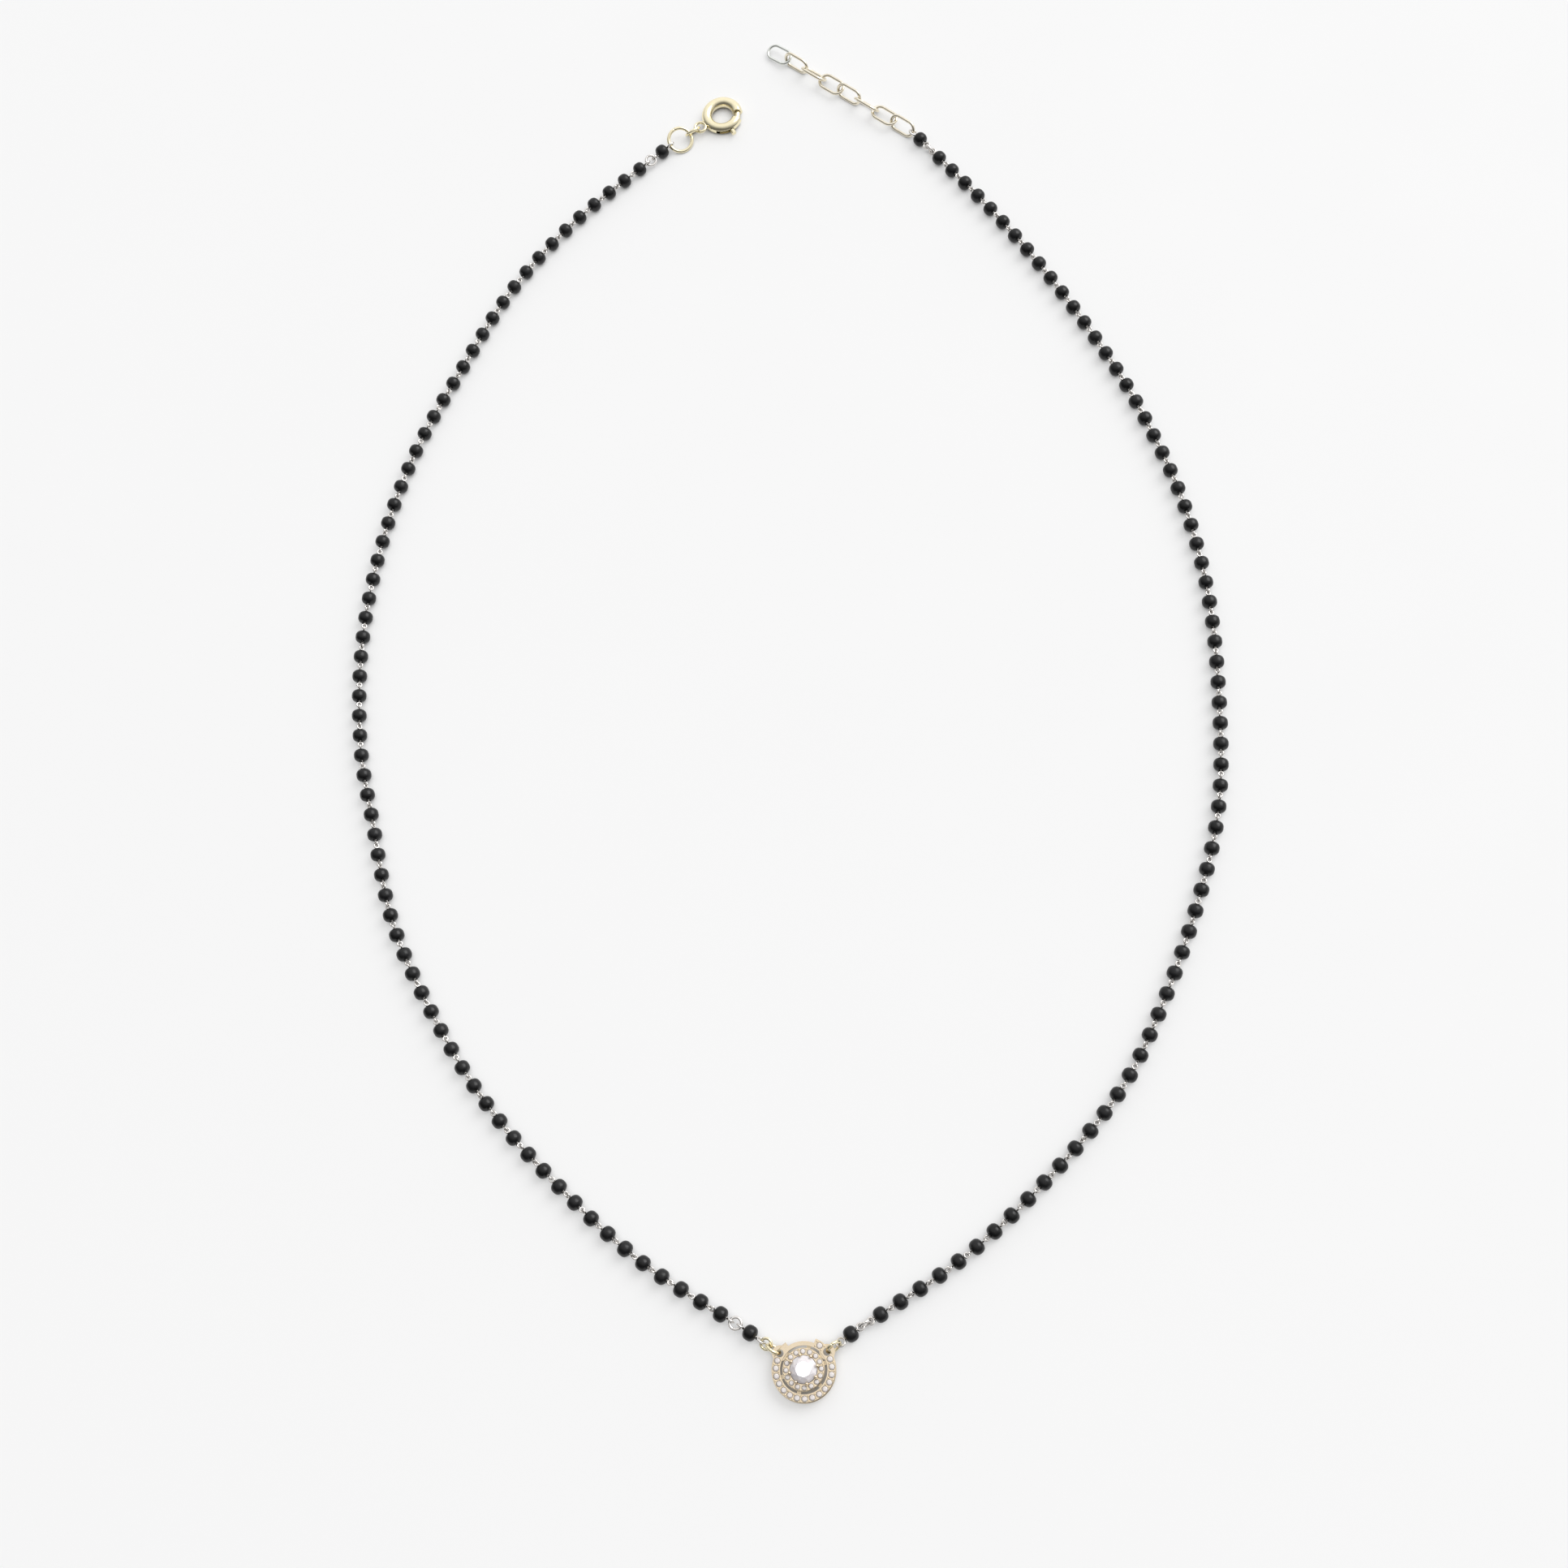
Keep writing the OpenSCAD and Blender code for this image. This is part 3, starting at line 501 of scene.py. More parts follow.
def oval_surface(centre, heading, droop, roll, length, width, wire):
    """Oval link: the wire's middle line runs round two half circles, (l / 2 + r cos u, r sin u) at angle u
    and its mirror image, where l is the length of the straights between them. The link is rolled about its
    length, tilted by its droop and turned to its heading."""
    around, section = OVAL_STEPS
    straight, r = length - width, (width - wire) / 2
    u = np.linspace(-np.pi / 2, np.pi / 2, around // 2)
    bend = np.column_stack([straight / 2 + r * np.cos(u), r * np.sin(u)])
    middle = np.vstack([bend, -bend])
    normal = np.vstack([direction(u), -direction(u)])
    v = 2 * np.pi * np.arange(section) / section
    flat = middle[:, None] + wire / 2 * np.cos(v)[None, :, None] * normal[:, None]
    up = np.broadcast_to(wire / 2 * np.sin(v)[None, :, None], flat.shape[:2] + (1,))
    local = np.concatenate([flat, up], -1)
    tilt = np.array([[np.cos(droop), 0, -np.sin(droop)], [0, 1, 0], [np.sin(droop), 0, np.cos(droop)]])
    axes = chain_axes(0.0, roll) @ tilt @ chain_axes(heading, 0.0)
    points = (local @ axes + np.asarray(centre, float))[None]
    faces = grid_faces(len(middle), section, True)
    return points, outward(points.reshape(-1, 3), faces)


def grain_surface(centres, diameter):
    """Grains of metal pushed up from the plate: a dome, at height r sin a and radius r cos a, stands on a
    short neck and is turned about its middle. It is closed above and below."""
    lift = np.radians(DOME_LIFT)
    profile = diameter / 2 * np.column_stack([np.cos(lift), np.sin(lift)])
    profile = np.vstack([[[diameter / 2, -GRAIN_SINK]], profile])
    v = 2 * np.pi * np.arange(GRAIN_STEPS) / GRAIN_STEPS
    local = np.stack([
        profile[:, 0][:, None] * np.cos(v), profile[:, 0][:, None] * np.sin(v), profile[:, 1][:, None] + 0 * v
    ], -1)
    points = placed(local, centres, np.broadcast_to(np.eye(3), (len(centres), 3, 3)))
    faces = closed_sweep(len(profile), GRAIN_STEPS, len(centres))
    return points, outward(points.reshape(-1, 3), faces)


# Making objects


def make_piece(name, surface, finish, replaced=(), tones=None, body=BODY):
    """Puts a surface into a mesh object, which rides on its body and stands for the nodes it replaces."""
    points, faces = surface
    points = points.reshape(-1, 3)
    mesh = bpy.data.meshes.new(name)
    mesh.vertices.add(len(points))
    mesh.vertices.foreach_set("co", points.ravel().astype(np.float32))
    mesh.loops.add(faces.size)
    mesh.loops.foreach_set("vertex_index", faces.ravel().astype(np.int32))
    mesh.polygons.add(len(faces))
    mesh.polygons.foreach_set("loop_start", (4 * np.arange(len(faces))).astype(np.int32))
    mesh.polygons.foreach_set("use_smooth", np.ones(len(faces), bool))
    mesh.update(calc_edges=True)
    tone = mesh.attributes.new("tone", "FLOAT", "POINT")
    values = np.full(len(points), 0.5) if tones is None else np.repeat(tones, len(points) // len(tones))
    tone.data.foreach_set("value", values.astype(np.float32))
    if mesh.validate():
        raise RuntimeError(f"the surface of {name} has faces that don't hold")
    mesh.materials.append(finish)
    piece = bpy.data.objects.new(name, mesh)
    bpy.context.scene.collection.objects.link(piece)
    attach(piece, body)
    if replaced:
        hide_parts(*replaced)
    return piece


def dress(node, finish):
    """Gives a node that is kept as it is its finish."""
    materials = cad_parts[node].data.materials
    materials.clear()
    materials.append(finish)


# Finishes


class Finish:
    """A material and the few nodes that its patterns are made of, all on Object coordinates."""

    def __init__(self, name):
        self.material = bpy.data.materials.new(name)
        self.material.use_nodes = True
        self.nodes = self.material.node_tree.nodes
        self.links = self.material.node_tree.links
        self.shader = next(n for n in self.nodes if n.type == "BSDF_PRINCIPLED")
        self.place = self.nodes.new("ShaderNodeTexCoord").outputs["Object"]

    def noise(self, scale, detail=3.0, stretch=None):
        """Soft cloud of values round 0.5, with the given number of spots for each metre."""
        node = self.nodes.new("ShaderNodeTexNoise")
        node.inputs["Scale"].default_value = scale
        node.inputs["Detail"].default_value = detail
        place = self.place
        if stretch is not None:
            mapping = self.nodes.new("ShaderNodeMapping")
            mapping.inputs["Scale"].default_value = stretch
            self.links.new(place, mapping.inputs["Vector"])
            place = mapping.outputs["Vector"]
        self.links.new(place, node.inputs["Vector"])
        return node.outputs["Fac"]

    def tone(self):
        """The value that each bead carries for itself."""
        node = self.nodes.new("ShaderNodeAttribute")
        node.attribute_name = "tone"
        return node.outputs["Fac"]

    def spread(self, value, low, high, start=0.3, stop=0.7):
        """A pattern's values from start to stop, laid from low to high."""
        node = self.nodes.new("ShaderNodeMapRange")
        for socket, number in (("From Min", start), ("From Max", stop), ("To Min", low), ("To Max", high)):
            node.inputs[socket].default_value = number
        self.links.new(value, node.inputs["Value"])
        return node.outputs["Result"]

    def both(self, a, b, operation="ADD"):
        """Two patterns added, or multiplied where asked."""
        node = self.nodes.new("ShaderNodeMath")
        node.operation = operation
        self.links.new(a, node.inputs[0])
        self.links.new(b, node.inputs[1])
        return node.outputs["Value"]

    def colour(self, value, dark, light):
        """Base colour that goes from dark to light with a pattern."""
        node = self.nodes.new("ShaderNodeMix")
        node.data_type = "RGBA"
        a, b = (s for s in node.inputs if s.type == "RGBA")
        a.default_value = (*dark, 1)
        b.default_value = (*light, 1)
        self.links.new(value, node.inputs["Factor"])
        result = next(s for s in node.outputs if s.type == "RGBA")
        self.links.new(result, self.shader.inputs["Base Color"])

    def roughness(self, value):
        """Roughness that follows a pattern."""
        self.links.new(value, self.shader.inputs["Roughness"])

    def openness(self, reach):
        """Share of the directions above a point in which nothing is near."""
        node = self.nodes.new("ShaderNodeAmbientOcclusion")
        node.samples = 8
        node.inputs["Distance"].default_value = reach
        return node.outputs["AO"]

    def glow(self, value):
        """White light of the surface itself, which follows a pattern."""
        self.shader.inputs["Emission Color"].default_value = (1, 1, 1, 1)
        self.links.new(value, self.shader.inputs["Emission Strength"])

    def bump(self, value, distance, strength):
        """Small relief of the surface, in metres."""
        node = self.nodes.new("ShaderNodeBump")
        node.inputs["Strength"].default_value = strength
        node.inputs["Distance"].default_value = distance
        self.links.new(value, node.inputs["Height"])
        self.links.new(node.outputs["Normal"], self.shader.inputs["Normal"])

    def set(self, **values):
        """Values that are the same all over the surface, each under the name of its socket."""
        for name, value in values.items():
            self.shader.inputs[name.replace("_", " ")].default_value = value
        return self


def shade(colour, amount):
    """A colour made darker or lighter."""
    return tuple(min(1.0, amount * c) for c in colour)


def black_glass():
    """Opaque black pressed glass: glossy, with faint waves, duller spots and its own tone for each bead."""
    colours = settings()[3]
    f = Finish("black_glass")
    dark, light = (shade(colours.bead, tone) for tone in GLASS_TONES)
    f.colour(f.tone(), dark, light)
    dull = f.spread(f.noise(GLASS_DULLNESS, 2), 0.0, GLASS_SPOTS, 0.45, 0.75)
    f.roughness(f.both(f.spread(f.tone(), *GLASS_ROUGHNESS, 0, 1), dull))
    f.bump(f.noise(GLASS_WAVES, 1), *WAVE_RELIEF)
    f.set(IOR=GLASS_IOR, Specular_IOR_Level=GLASS_SPECULAR)
    return f.material


def metal(name, colour):
    """Polished metal: painted shade makes it darker and warmer where pieces crowd together; it is a little
    darker in spots, and has hairline scratches along and across."""
    f = Finish(name)
    smooth, rough = POLISH[name]
    cloud = f.noise(METAL_CLOUDS, 4)
    # Painted shade: the metal darkens and warms where neighbours crowd it; the cloud darkens worn spots
    unshaded = f.spread(f.openness(settings()[3].painted_shade_reach), 0, 1, *PAINTED_SHADE_OPENNESS)
    unworn_and_unshaded = f.both(f.spread(cloud, 1 - WEAR, 1), unshaded, "MULTIPLY")
    f.colour(unworn_and_unshaded, shade(tuple(c**TARNISH_AND_SHADE_WARMTH for c in colour), TARNISH_AND_SHADE), colour)
    along_chain, across_chain = (f.noise(SCRATCHES, 5, way) for way in (SCRATCHES_ALONG, SCRATCHES_ACROSS))
    hair = f.both(along_chain, across_chain, "MULTIPLY")
    f.roughness(f.spread(f.both(cloud, hair), smooth, rough, 0.4, 1.1))
    f.bump(hair, *SCRATCH_RELIEF)
    f.set(Metallic=1.0)
    return f.material


def stone(name, colour):
    """Cut stone: bright and hard, with a breath of colour and faint polishing marks."""
    f = Finish(name)
    cloud = f.noise(STONE_CLOUDS, 2)
    dark, light = (shade(colour, tone) for tone in STONE_TONES)
    f.colour(f.spread(cloud, 0, 1), dark, light)
    f.roughness(f.spread(f.noise(STONE_DULLNESS, 2), *STONE_ROUGHNESS))
    f.bump(f.noise(STONE_MARKS, 1), *MARK_RELIEF)
    f.set(IOR=STONE_IOR, Transmission_Weight=STONE_CLEARNESS)
    return f.material


# Operators


class NECKLACE_OT_bead_strings(bpy.types.Operator):
    """Makes both strings of black glass beads"""

    bl_idname = "necklace.bead_strings"
    bl_label = "Bead strings"

    def execute(self, context):
        sizes, _, _, _ = settings()
        finish = black_glass()
        for number, side in enumerate(("left", "right")):
            chance = np.random.default_rng(sizes.seed + number)
            places = bead_places(side)
            n = len(places)
            wide = 1 - sizes.unevenness * chance.random(n)
            long = 1 + sizes.unevenness * (chance.random(n) - 0.5)
            surface = bead_surface(
                places, headings(places), sizes.bead_diameter / 2, sizes,
                np.column_stack([long, wide, wide]), 2 * np.pi * chance.random(n),
            )
            tones = chance.random(n)
            make_piece(f"{side}_bead_string", surface, finish, [f"{side}_beads"], tones)
        return {"FINISHED"}


class NECKLACE_OT_linked_wire(bpy.types.Operator):
    """Makes the short eyed wires that carry the beads and hook into each other"""

    bl_idname = "necklace.linked_wire"
    bl_label = "Linked wire"

    def execute(self, context):
        sizes, _, _, colours = settings()
        finish = metal("grey_wire", colours.wire)
        for number, side in enumerate(("left", "right")):
            chance = np.random.default_rng(sizes.seed + WIRE_SEED + number)
            places = bead_places(side)
            heading = headings(places)
            inside, turned = places[1:-1], heading[1:-1]
            n = len(inside)
            pitch = np.linalg.norm(inside[1] - inside[0])
            out = (pitch - sizes.link_hold) / 2
            height = sizes.bead_diameter / 2
            roll = np.pi * chance.random(n - 1)
            middles = np.column_stack([inside, np.full(n, height)])
            step = np.column_stack([direction(turned), np.zeros(n)])
            stem = out - (sizes.link_eye - sizes.link_wire) / 2
            behind = ring_surface(
                middles[:-1] + out * step[:-1], turned[:-1], roll, sizes.link_eye, sizes.link_wire,
                LINK_EYE_STEPS,
            )
            ahead = ring_surface(
                middles[1:] - out * step[1:], turned[1:], roll + np.pi / 2, sizes.link_eye, sizes.link_wire,
                LINK_EYE_STEPS,
            )
            rods = rod_surface(middles, turned, -stem, stem, sizes.link_wire, LINK_EYE_STEPS[1])
            reach = eye_out(sizes, sizes.ring_eye)
            ends = ring_surface(
                np.array([middles[0] - reach * step[0], middles[-1] + reach * step[-1]]),
                np.array([turned[0], turned[-1]]),
                np.radians([FRONT_ROLLS[side] + 90, BACK_ROLLS[side] + 90]),
                sizes.ring_eye, sizes.pin_wire, STRING_EYE_STEPS,
            )
            end_rods = rod_surface(
                np.array([middles[0], middles[-1]]), np.array([turned[0] + np.pi, turned[-1]]),
                0, reach - (sizes.ring_eye - sizes.pin_wire) / 2, sizes.pin_wire, STRING_EYE_STEPS[1],
            )
            make_piece(
                f"{side}_linked_wire", joined(behind, ahead, rods, ends, end_rods), finish,
                [f"{side}_wire"],
            )
        return {"FINISHED"}


class NECKLACE_OT_string_ends(bpy.types.Operator):
    """Makes the eyed pins of the end beads and the rings that join them to their strings"""

    bl_idname = "necklace.string_ends"
    bl_label = "String ends"

    def execute(self, context):
        sizes, _, _, colours = settings()
        finish = metal("end_wire", colours.wire)
        height = sizes.bead_diameter / 2
        for side in ("left", "right"):
            places = bead_places(side)
            heading = headings(places)
            ear, ear_roll = (LEFT_EAR, SECOND_RING_ROLL) if side == "left" else (RIGHT_EAR, RIGHT_RING_ROLL)
            last_roll = JUMP_RING_ROLL if side == "left" else FIRST_LINK_ROLL
            # Each end's bead and the next one, the pin's angle, and for each eye what it holds and its size
            ends = (
                ("front", 0, 1, ear, ear_roll, sizes.end_eye, FRONT_ROLLS[side], sizes.ring_eye),
                ("back", -1, -2, heading[-1], BACK_ROLLS[side], sizes.ring_eye, last_roll, sizes.end_eye),
            )
            for end, bead, neighbour, angle, roll_before, eye_before, roll_behind, eye_behind in ends:
                middle = np.append(places[bead], height)
                step = np.append(direction(angle), 0)
                eyes = []
                for sign, roll, eye in ((-1, roll_before, eye_before), (1, roll_behind, eye_behind)):
                    eyes.append(ring_surface(
                        [middle + sign * eye_out(sizes, eye) * step], [angle], np.radians([roll + 90]),
                        eye, sizes.pin_wire, PIN_EYE_STEPS,
                    ))
                stem = sizes.bead_length / 2 + sizes.eye_gap + sizes.pin_wire / 2
                rod = rod_surface([middle], [angle], -stem, stem, sizes.pin_wire, PIN_EYE_STEPS[1])
                make_piece(
                    f"{side}_{end}_eye_pin", joined(*eyes, rod), finish, [f"{side}_{end}_pin"]
                )
                sign = 1 if end == "front" else -1
                a = places[bead] + sign * eye_out(sizes, sizes.ring_eye) * direction(angle)
                b = places[neighbour] - sign * eye_out(sizes, sizes.ring_eye) * direction(heading[neighbour])
                way = sign * (b - a)
                roll = (FRONT_ROLLS if end == "front" else BACK_ROLLS)[side]
                ring = ring_surface(
                    [np.append((a + b) / 2, height)], [np.arctan2(way[1], way[0])], np.radians([roll]),
                    sizes.string_ring, sizes.string_ring_wire, STRING_RING_STEPS, True,
                )
                make_piece(f"{side}_{end}_jump_ring", ring, finish, [f"{side}_{end}_ring"])
        return {"FINISHED"}


class NECKLACE_OT_pendant(bpy.types.Operator):
    """Dresses the pendant: rings in its ears, grains round its small stones and the finishes of its nodes"""

    bl_idname = "necklace.pendant"
    bl_label = "Pendant"

    def execute(self, context):
        sizes, pendant, _, colours = settings()
        gold = metal("pendant_gold", colours.gold)
        ear_z, string_z = pendant.ear_height, sizes.bead_diameter / 2
        middle = PENDANT_AT * MM
        rings = (
            ("left_pendant_ring", LEFT_EAR, ear_ring_at(pendant), ear_z, LEFT_RING_ROLL,
             pendant.ear_ring, pendant.ear_ring_wire),
            ("left_second_ring", LEFT_EAR, second_ring_at(pendant, sizes.hook_slack), (ear_z + string_z) / 2,
             SECOND_RING_ROLL, pendant.second_ring, pendant.second_ring_wire),
            ("right_pendant_ring", RIGHT_EAR, ear_ring_at(pendant), ear_z, RIGHT_RING_ROLL,
             pendant.ear_ring, pendant.ear_ring_wire),
        )
        for node, angle, out, z, roll, outer, wire in rings:
            ring = ring_surface(
                [np.append(middle + out * direction(angle), z)], [angle], np.radians([roll]), outer, wire,
                PENDANT_RING_STEPS, True,
            )
            make_piece(f"{node}_wire", ring, gold, [node])
        outer_angles, inner_angles = halo_gaps(pendant)
        outer_r, inner_r = (pendant.halo - pendant.halo_width) / 2, pendant.inner_halo / 2
        centres = np.vstack([
            grain_ring(outer_angles, outer_r - pendant.outer_grain_out, pendant.halo_top),
            grain_ring(outer_angles, outer_r + pendant.outer_grain_out, pendant.halo_top),
            grain_ring(inner_angles, inner_r + pendant.inner_grain_out, pendant.collet_top),
        ])
        rosy = metal("setting_gold", colours.rosy_gold)
        make_piece("halo_grains", grain_surface(centres, pendant.grain), rosy)
        dress("pendant_setting", rosy)
        dress("centre_stone", stone("clear_stone", colours.stone))
        small = stone("halo_stone", colours.halo_stone)
        dress("inner_halo_stones", small)
        dress("outer_halo_stones", small)
        return {"FINISHED"}


def halo_gaps(pendant):
    """Angles halfway between neighbouring stones of the outer and of the inner halo. The outer stones keep
    clear of the ears' holes and are spread evenly over the arc below them, and the lone one has a gap on each
    side."""
    radius = (pendant.halo - pendant.halo_width) / 2
    keep = 2 * np.arcsin((pendant.ear_hole / 2 + pendant.outer_seat / 2 + pendant.seat_gap) / (2 * radius))
    start, stop = LEFT_EAR + keep, RIGHT_EAR + 2 * np.pi - keep
    spaces = max(1, round((stop - start) * radius / pendant.outer_pitch))
    row = start + (stop - start) * (np.arange(spaces) + 0.5) / spaces
    beside = pendant.outer_pitch / (2 * radius)
    outer = np.append(row, [LONE_STONE - beside, LONE_STONE + beside])
    return outer, 2 * np.pi * (np.arange(pendant.inner_stones) + 0.5) / pendant.inner_stones


def grain_ring(angles, radius, height):
    """Places of grains at one radius round the pendant."""
    return np.column_stack([PENDANT_AT * MM + radius * direction(angles), np.full(len(angles), height)])


class NECKLACE_OT_clasp(bpy.types.Operator):
    """Makes the two rings of the clasp and gives the spring ring and its bolt their finish"""

    bl_idname = "necklace.clasp"
    bl_label = "Clasp"

    def execute(self, context):
        sizes, _, chain, colours = settings()
        gold = metal("clasp_gold", colours.gold)
        places = bead_places("left")
        at = places[-1] + eye_out(sizes, sizes.end_eye) * direction(headings(places)[-1])
        eye = inner(sizes.end_eye, sizes.pin_wire)
        jump = inner(chain.jump_ring, chain.jump_ring_wire)
        small = inner(chain.small_ring, chain.small_ring_wire)
        at = at + (eye + jump - sizes.end_eye_slack) * direction(CLASP_HEADING)
        rings = [("clasp_jump_ring", at, JUMP_RING_ROLL, chain.jump_ring, chain.jump_ring_wire)]
        at = at + (jump + small - sizes.hook_slack) * direction(CLASP_HEADING)
        rings.append(("clasp_small_ring", at, SMALL_RING_ROLL, chain.small_ring, chain.small_ring_wire))
        for node, at, roll, outer, wire in rings:
            z = wire / 2 + (outer - wire) / 2 * abs(np.sin(np.radians(roll)))
            ring = ring_surface(
                [np.append(at, z)], [CLASP_HEADING], np.radians([roll]), outer, wire, CLASP_RING_STEPS, True
            )
            make_piece(f"{node}_wire", ring, gold, [node])
        dress("clasp_body", gold)
        dress("clasp_bolt", metal("bolt_gold", shade(colours.gold, BOLT_TONE)))
        return {"FINISHED"}


class NECKLACE_OT_extender(bpy.types.Operator):
    """Makes the oval links of the extender"""

    bl_idname = "necklace.extender"
    bl_label = "Extender"

    def execute(self, context):
        sizes, _, chain, colours = settings()
        champagne = metal("champagne_links", colours.extender)
        cool = metal("end_link", colours.end_link)
        places = bead_places("right")
        eye_at = places[-1] + eye_out(sizes, sizes.end_eye) * direction(headings(places)[-1])
        curve = smooth_route(np.vstack([eye_at, np.array(EXTENDER_ROUTE) * MM]))
        link_in = inner(chain.link_length, chain.link_wire)
        half, straight = (chain.link_width - chain.link_wire) / 2, chain.link_length - chain.link_width
        n = chain.links
        i = np.arange(n + 1)
        roll = np.radians(FIRST_LINK_ROLL + LINK_TURN * i)
        droop = np.where(i == n - 1, np.radians(FREE_END_DROOP) * (1 - abs(np.sin(roll))), 0)
        # A link lies with its lowest wire on the table, or hangs between its neighbours where that is higher
        rest = chain.link_wire / 2 + straight / 2 * np.sin(droop) + half * np.hypot(
            np.sin(roll) * np.cos(droop), np.sin(droop)
        )
        before = chain.link_wire / 2 + half * abs(np.sin(np.radians(FIRST_LINK_ROLL - LINK_TURN)))
        around = np.append(before, rest)
        z = np.maximum(rest[:n], chain.carried * (around[:n] + around[2:n + 2]))
        z[-1] = max(rest[n - 1], chain.carried_last * rest[n - 2])
        first = inner(sizes.end_eye, sizes.pin_wire) + link_in - sizes.end_eye_slack
        s = first + i[:n] * (2 * link_in - chain.link_slack)
        at, _ = along(curve, s)
        way = along(curve, s + straight / 2)[0] - along(curve, s - straight / 2)[0]
        heading = np.arctan2(way[:, 1], way[:, 0])
        for k in range(n):
            link = oval_surface(
                np.append(at[k], z[k]), heading[k], droop[k], roll[k],
                chain.link_length, chain.link_width, chain.link_wire,
            )
            finish = cool if k == n - 1 else champagne
            make_piece(f"extender_oval_{k + 1}", link, finish, [f"extender_link_{k + 1}"])
        return {"FINISHED"}


class NECKLACE_OT_stage(bpy.types.Operator):
    """Lays the white floor, hangs the soft light and sets the camera"""

    bl_idname = "necklace.stage"
    bl_label = "Stage"

    def execute(self, context):
        stage = context.scene.necklace_stage
        white_floor(stage)
        soft_sky(stage)
        key_light(stage)
        low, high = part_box("centre_stone")
        pin_light(stage, Vector(((low[0] + high[0]) / 2, (low[1] + high[1]) / 2, high[2])))
        photo_camera(stage)
        context.scene.view_settings.view_transform = "Standard"
        return {"FINISHED"}


def white_floor(stage):
    """Large white ground that is lit from above and, as a light table is, from below, with painted shadow
    where pieces stand near.
    """
    half = stage.floor_size / 2
    mesh = bpy.data.meshes.new("floor")
    corners = [(-half, -half, 0), (half, -half, 0), (half, half, 0), (-half, half, 0)]
    mesh.from_pydata(corners, [], [(0, 1, 2, 3)])
    floor = bpy.data.objects.new("floor", mesh)
    bpy.context.scene.collection.objects.link(floor)
    f = Finish("white_ground")
    f.colour(f.noise(GROUND_CLOUDS, 2), shade(stage.floor, GROUND_TONE), stage.floor)
    f.roughness(f.spread(f.noise(GROUND_GRAIN, 2), *GROUND_ROUGHNESS))
    # Painted shadow: the ground's glow fades out where pieces stand near
    f.glow(f.spread(f.openness(stage.shadow_reach), 0, stage.floor_glow, *GLOW_OPENNESS))
    mesh.materials.append(f.material)


def soft_sky(stage):
    """Surroundings that grow from a low to a high brightness towards the upper right of the picture, and that
    a camera sees as one plain pale backdrop."""
    sky = bpy.data.worlds.new("soft_room")
    sky.use_nodes = True
    nodes, links = sky.node_tree.nodes, sky.node_tree.links
    background = next(n for n in nodes if n.type == "BACKGROUND")
    background.inputs["Color"].default_value = (1, 1, 1, 1)
    coordinates = nodes.new("ShaderNodeTexCoord")
    toward = nodes.new("ShaderNodeVectorMath")
    toward.operation = "DOT_PRODUCT"
    toward.inputs[1].default_value = Vector(SKY_TOWARDS).normalized()
    lift = nodes.new("ShaderNodeMapRange")
    lift.interpolation_type = "SMOOTHSTEP"
    ends = (
        ("From Min", stage.sky_start), ("From Max", stage.sky_stop),
        ("To Min", stage.sky_low), ("To Max", stage.sky_high),
    )
    for socket, number in ends:
        lift.inputs[socket].default_value = number
    links.new(coordinates.outputs["Generated"], toward.inputs[0])
    links.new(toward.outputs["Value"], lift.inputs["Value"])
    seen = nodes.new("ShaderNodeMix")
    plain = nodes.new("ShaderNodeLightPath").outputs["Is Camera Ray"]
    factor, behind, backdrop = (s for s in seen.inputs if s.type == "VALUE")
    backdrop.default_value = stage.backdrop
    links.new(plain, factor)
    links.new(lift.outputs["Result"], behind)
    links.new(next(s for s in seen.outputs if s.type == "VALUE"), background.inputs["Strength"])
    bpy.context.scene.world = sky


def round_light(name, width, power, place, target):
    """Round light at a place, turned to shine on a target."""
    data = bpy.data.lights.new(name, "AREA")
    data.shape = "DISK"
    data.size = width
    data.energy = power
    light = bpy.data.objects.new(name, data)
    light.location = place
    light.rotation_euler = (light.location - target).to_track_quat("Z", "Y").to_euler()
    bpy.context.scene.collection.objects.link(light)
    return light


def key_light(stage):
    """Large soft light above, to the right and behind."""
    round_light("key", stage.key_size, stage.key, Vector(KEY_AT), Vector())


def pin_light(stage, top):
    """Small light in which the flat top of the centre stone shows white to the camera: it hangs where the
    line from the camera goes on after the stone's top has mirrored it."""
    sight = (Vector(CAMERA_AT) * MM - top).normalized()
    place = top + stage.pin_height * Vector((-sight.x, -sight.y, sight.z))
    pin = round_light("pin", stage.pin_size, stage.pin, place, top)
    pin.data.color = PIN_COLOUR
    pin.visible_camera = False


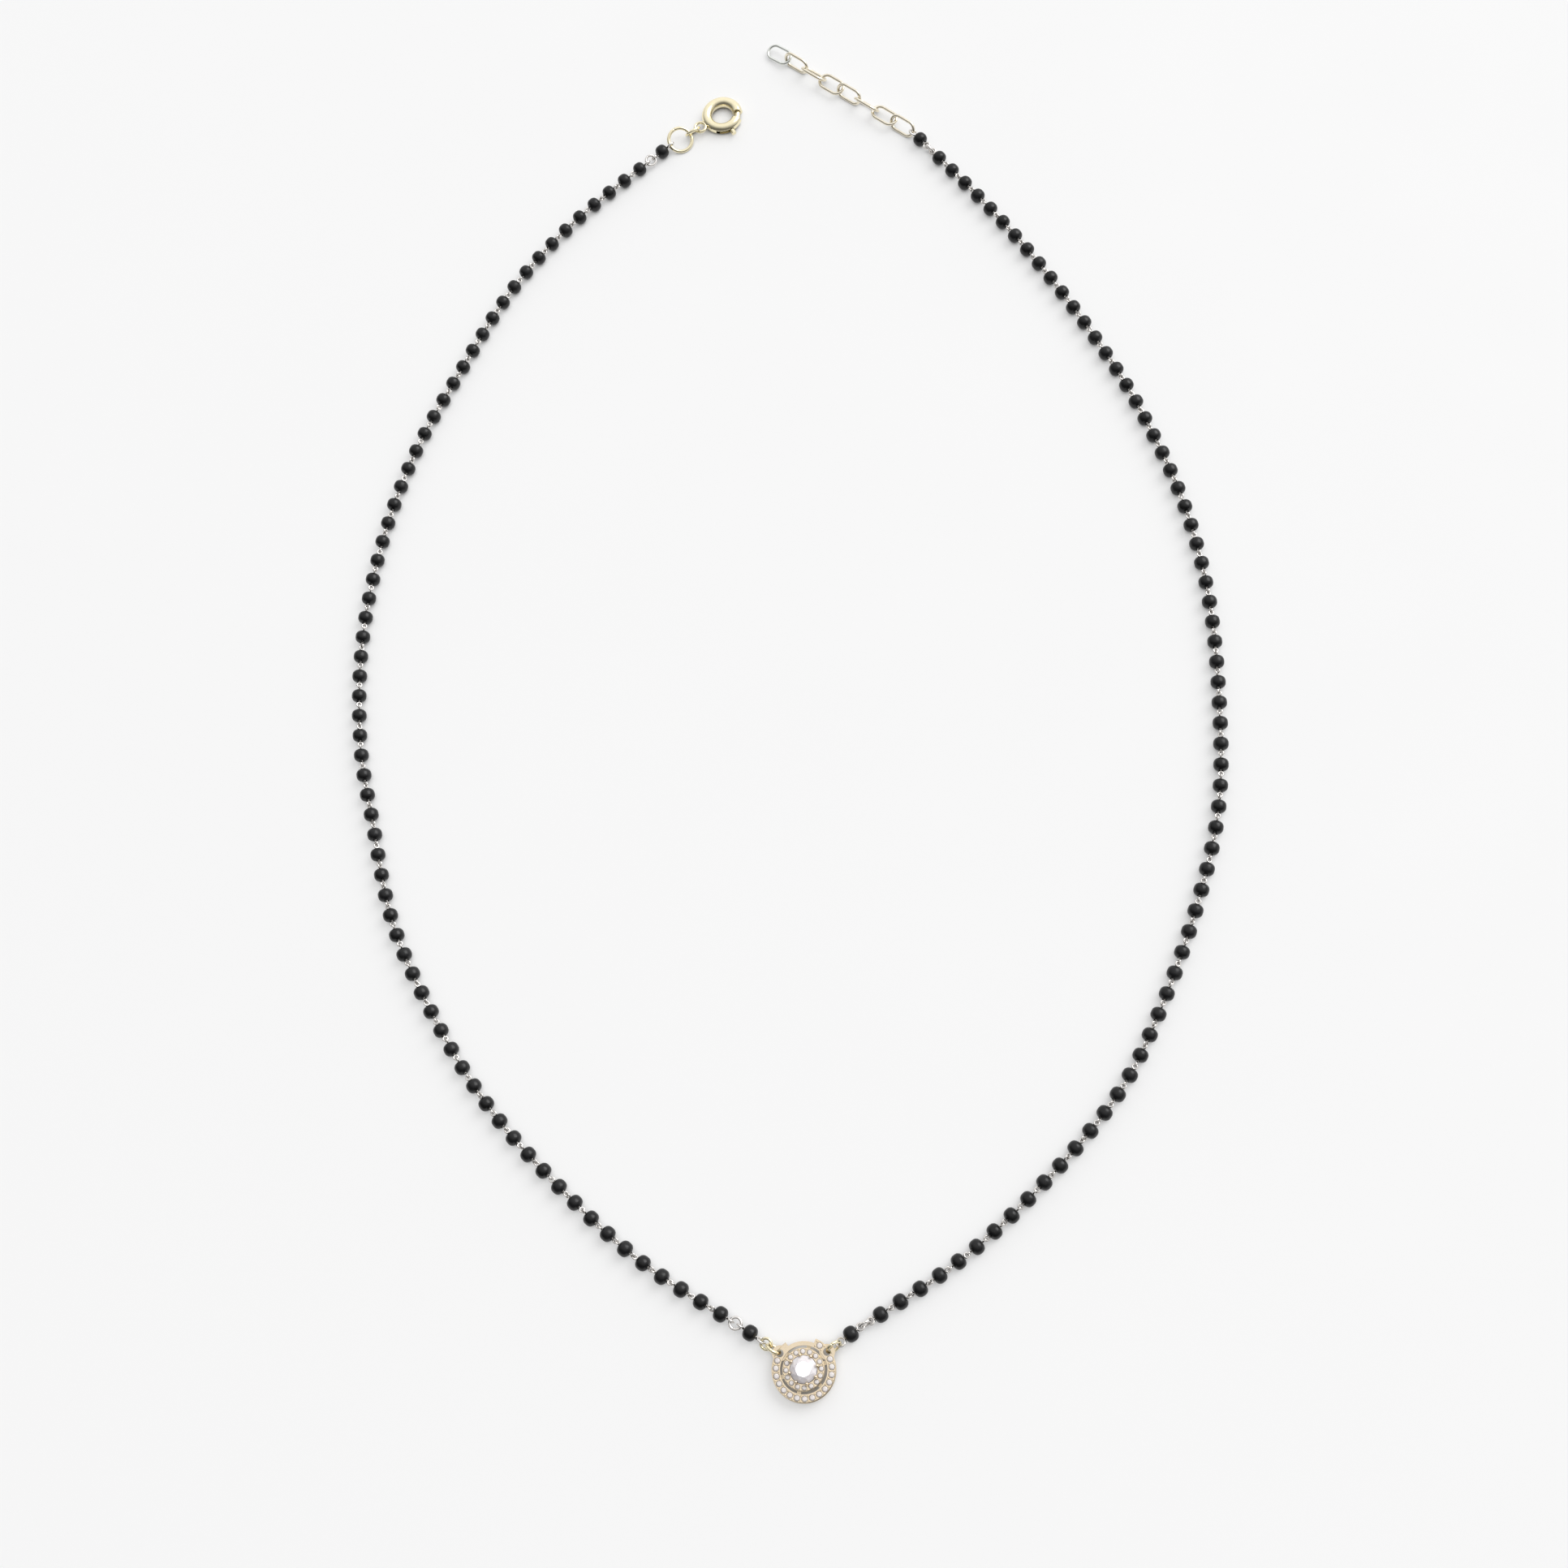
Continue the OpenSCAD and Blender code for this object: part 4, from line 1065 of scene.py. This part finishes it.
def photo_camera(stage):
    """Camera at the photograph's place: its right side and its back, squared up, and where it stands."""
    lens = bpy.data.cameras.new("camera")
    lens.lens = stage.lens
    lens.sensor_width = 36
    lens.clip_start = 0.01
    lens.clip_end = 20
    camera = bpy.data.objects.new("camera", lens)
    right = Vector(CAMERA_RIGHT).normalized()
    back = Vector(CAMERA_BACK)
    back = (back - back.dot(right) * right).normalized()
    turn = Matrix((right, back.cross(right), back)).transposed().to_4x4()
    camera.matrix_world = Matrix.Translation(Vector(CAMERA_AT) * MM) @ turn
    bpy.context.scene.collection.objects.link(camera)
    bpy.context.scene.camera = camera


class NECKLACE_PT_panel(bpy.types.Panel):
    """Sizes and steps of the necklace"""

    bl_label = "Black-bead necklace"
    bl_idname = "NECKLACE_PT_panel"
    bl_space_type = "VIEW_3D"
    bl_region_type = "UI"
    bl_category = "Necklace"

    def draw(self, context):
        for name in GROUPS:
            box = self.layout.box()
            group = getattr(context.scene, name)
            for key in group.__annotations__:
                box.prop(group, key)
        for operator in OPERATORS:
            self.layout.operator(operator.bl_idname)


GROUPS = {
    "necklace_strings": StringSizes,
    "necklace_pendant": PendantSizes,
    "necklace_chain": ChainSizes,
    "necklace_colours": Colours,
    "necklace_stage": StageSettings,
}
OPERATORS = (
    NECKLACE_OT_bead_strings,
    NECKLACE_OT_linked_wire,
    NECKLACE_OT_string_ends,
    NECKLACE_OT_pendant,
    NECKLACE_OT_clasp,
    NECKLACE_OT_extender,
    NECKLACE_OT_stage,
)


def register():
    """Adds the settings, the operators and the panel."""
    for group in (*GROUPS.values(), *OPERATORS, NECKLACE_PT_panel):
        bpy.utils.register_class(group)
    for name, group in GROUPS.items():
        setattr(bpy.types.Scene, name, PointerProperty(type=group))


def unregister():
    """Takes the settings, the operators and the panel out again."""
    for name in GROUPS:
        delattr(bpy.types.Scene, name)
    for group in (NECKLACE_PT_panel, *reversed(OPERATORS), *GROUPS.values()):
        bpy.utils.unregister_class(group)


def main():
    """Makes every piece in order."""
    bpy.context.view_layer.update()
    register()
    bpy.ops.necklace.bead_strings()
    bpy.ops.necklace.linked_wire()
    bpy.ops.necklace.string_ends()
    bpy.ops.necklace.pendant()
    bpy.ops.necklace.clasp()
    bpy.ops.necklace.extender()
    bpy.ops.necklace.stage()


if __name__ == "__main__":
    main()
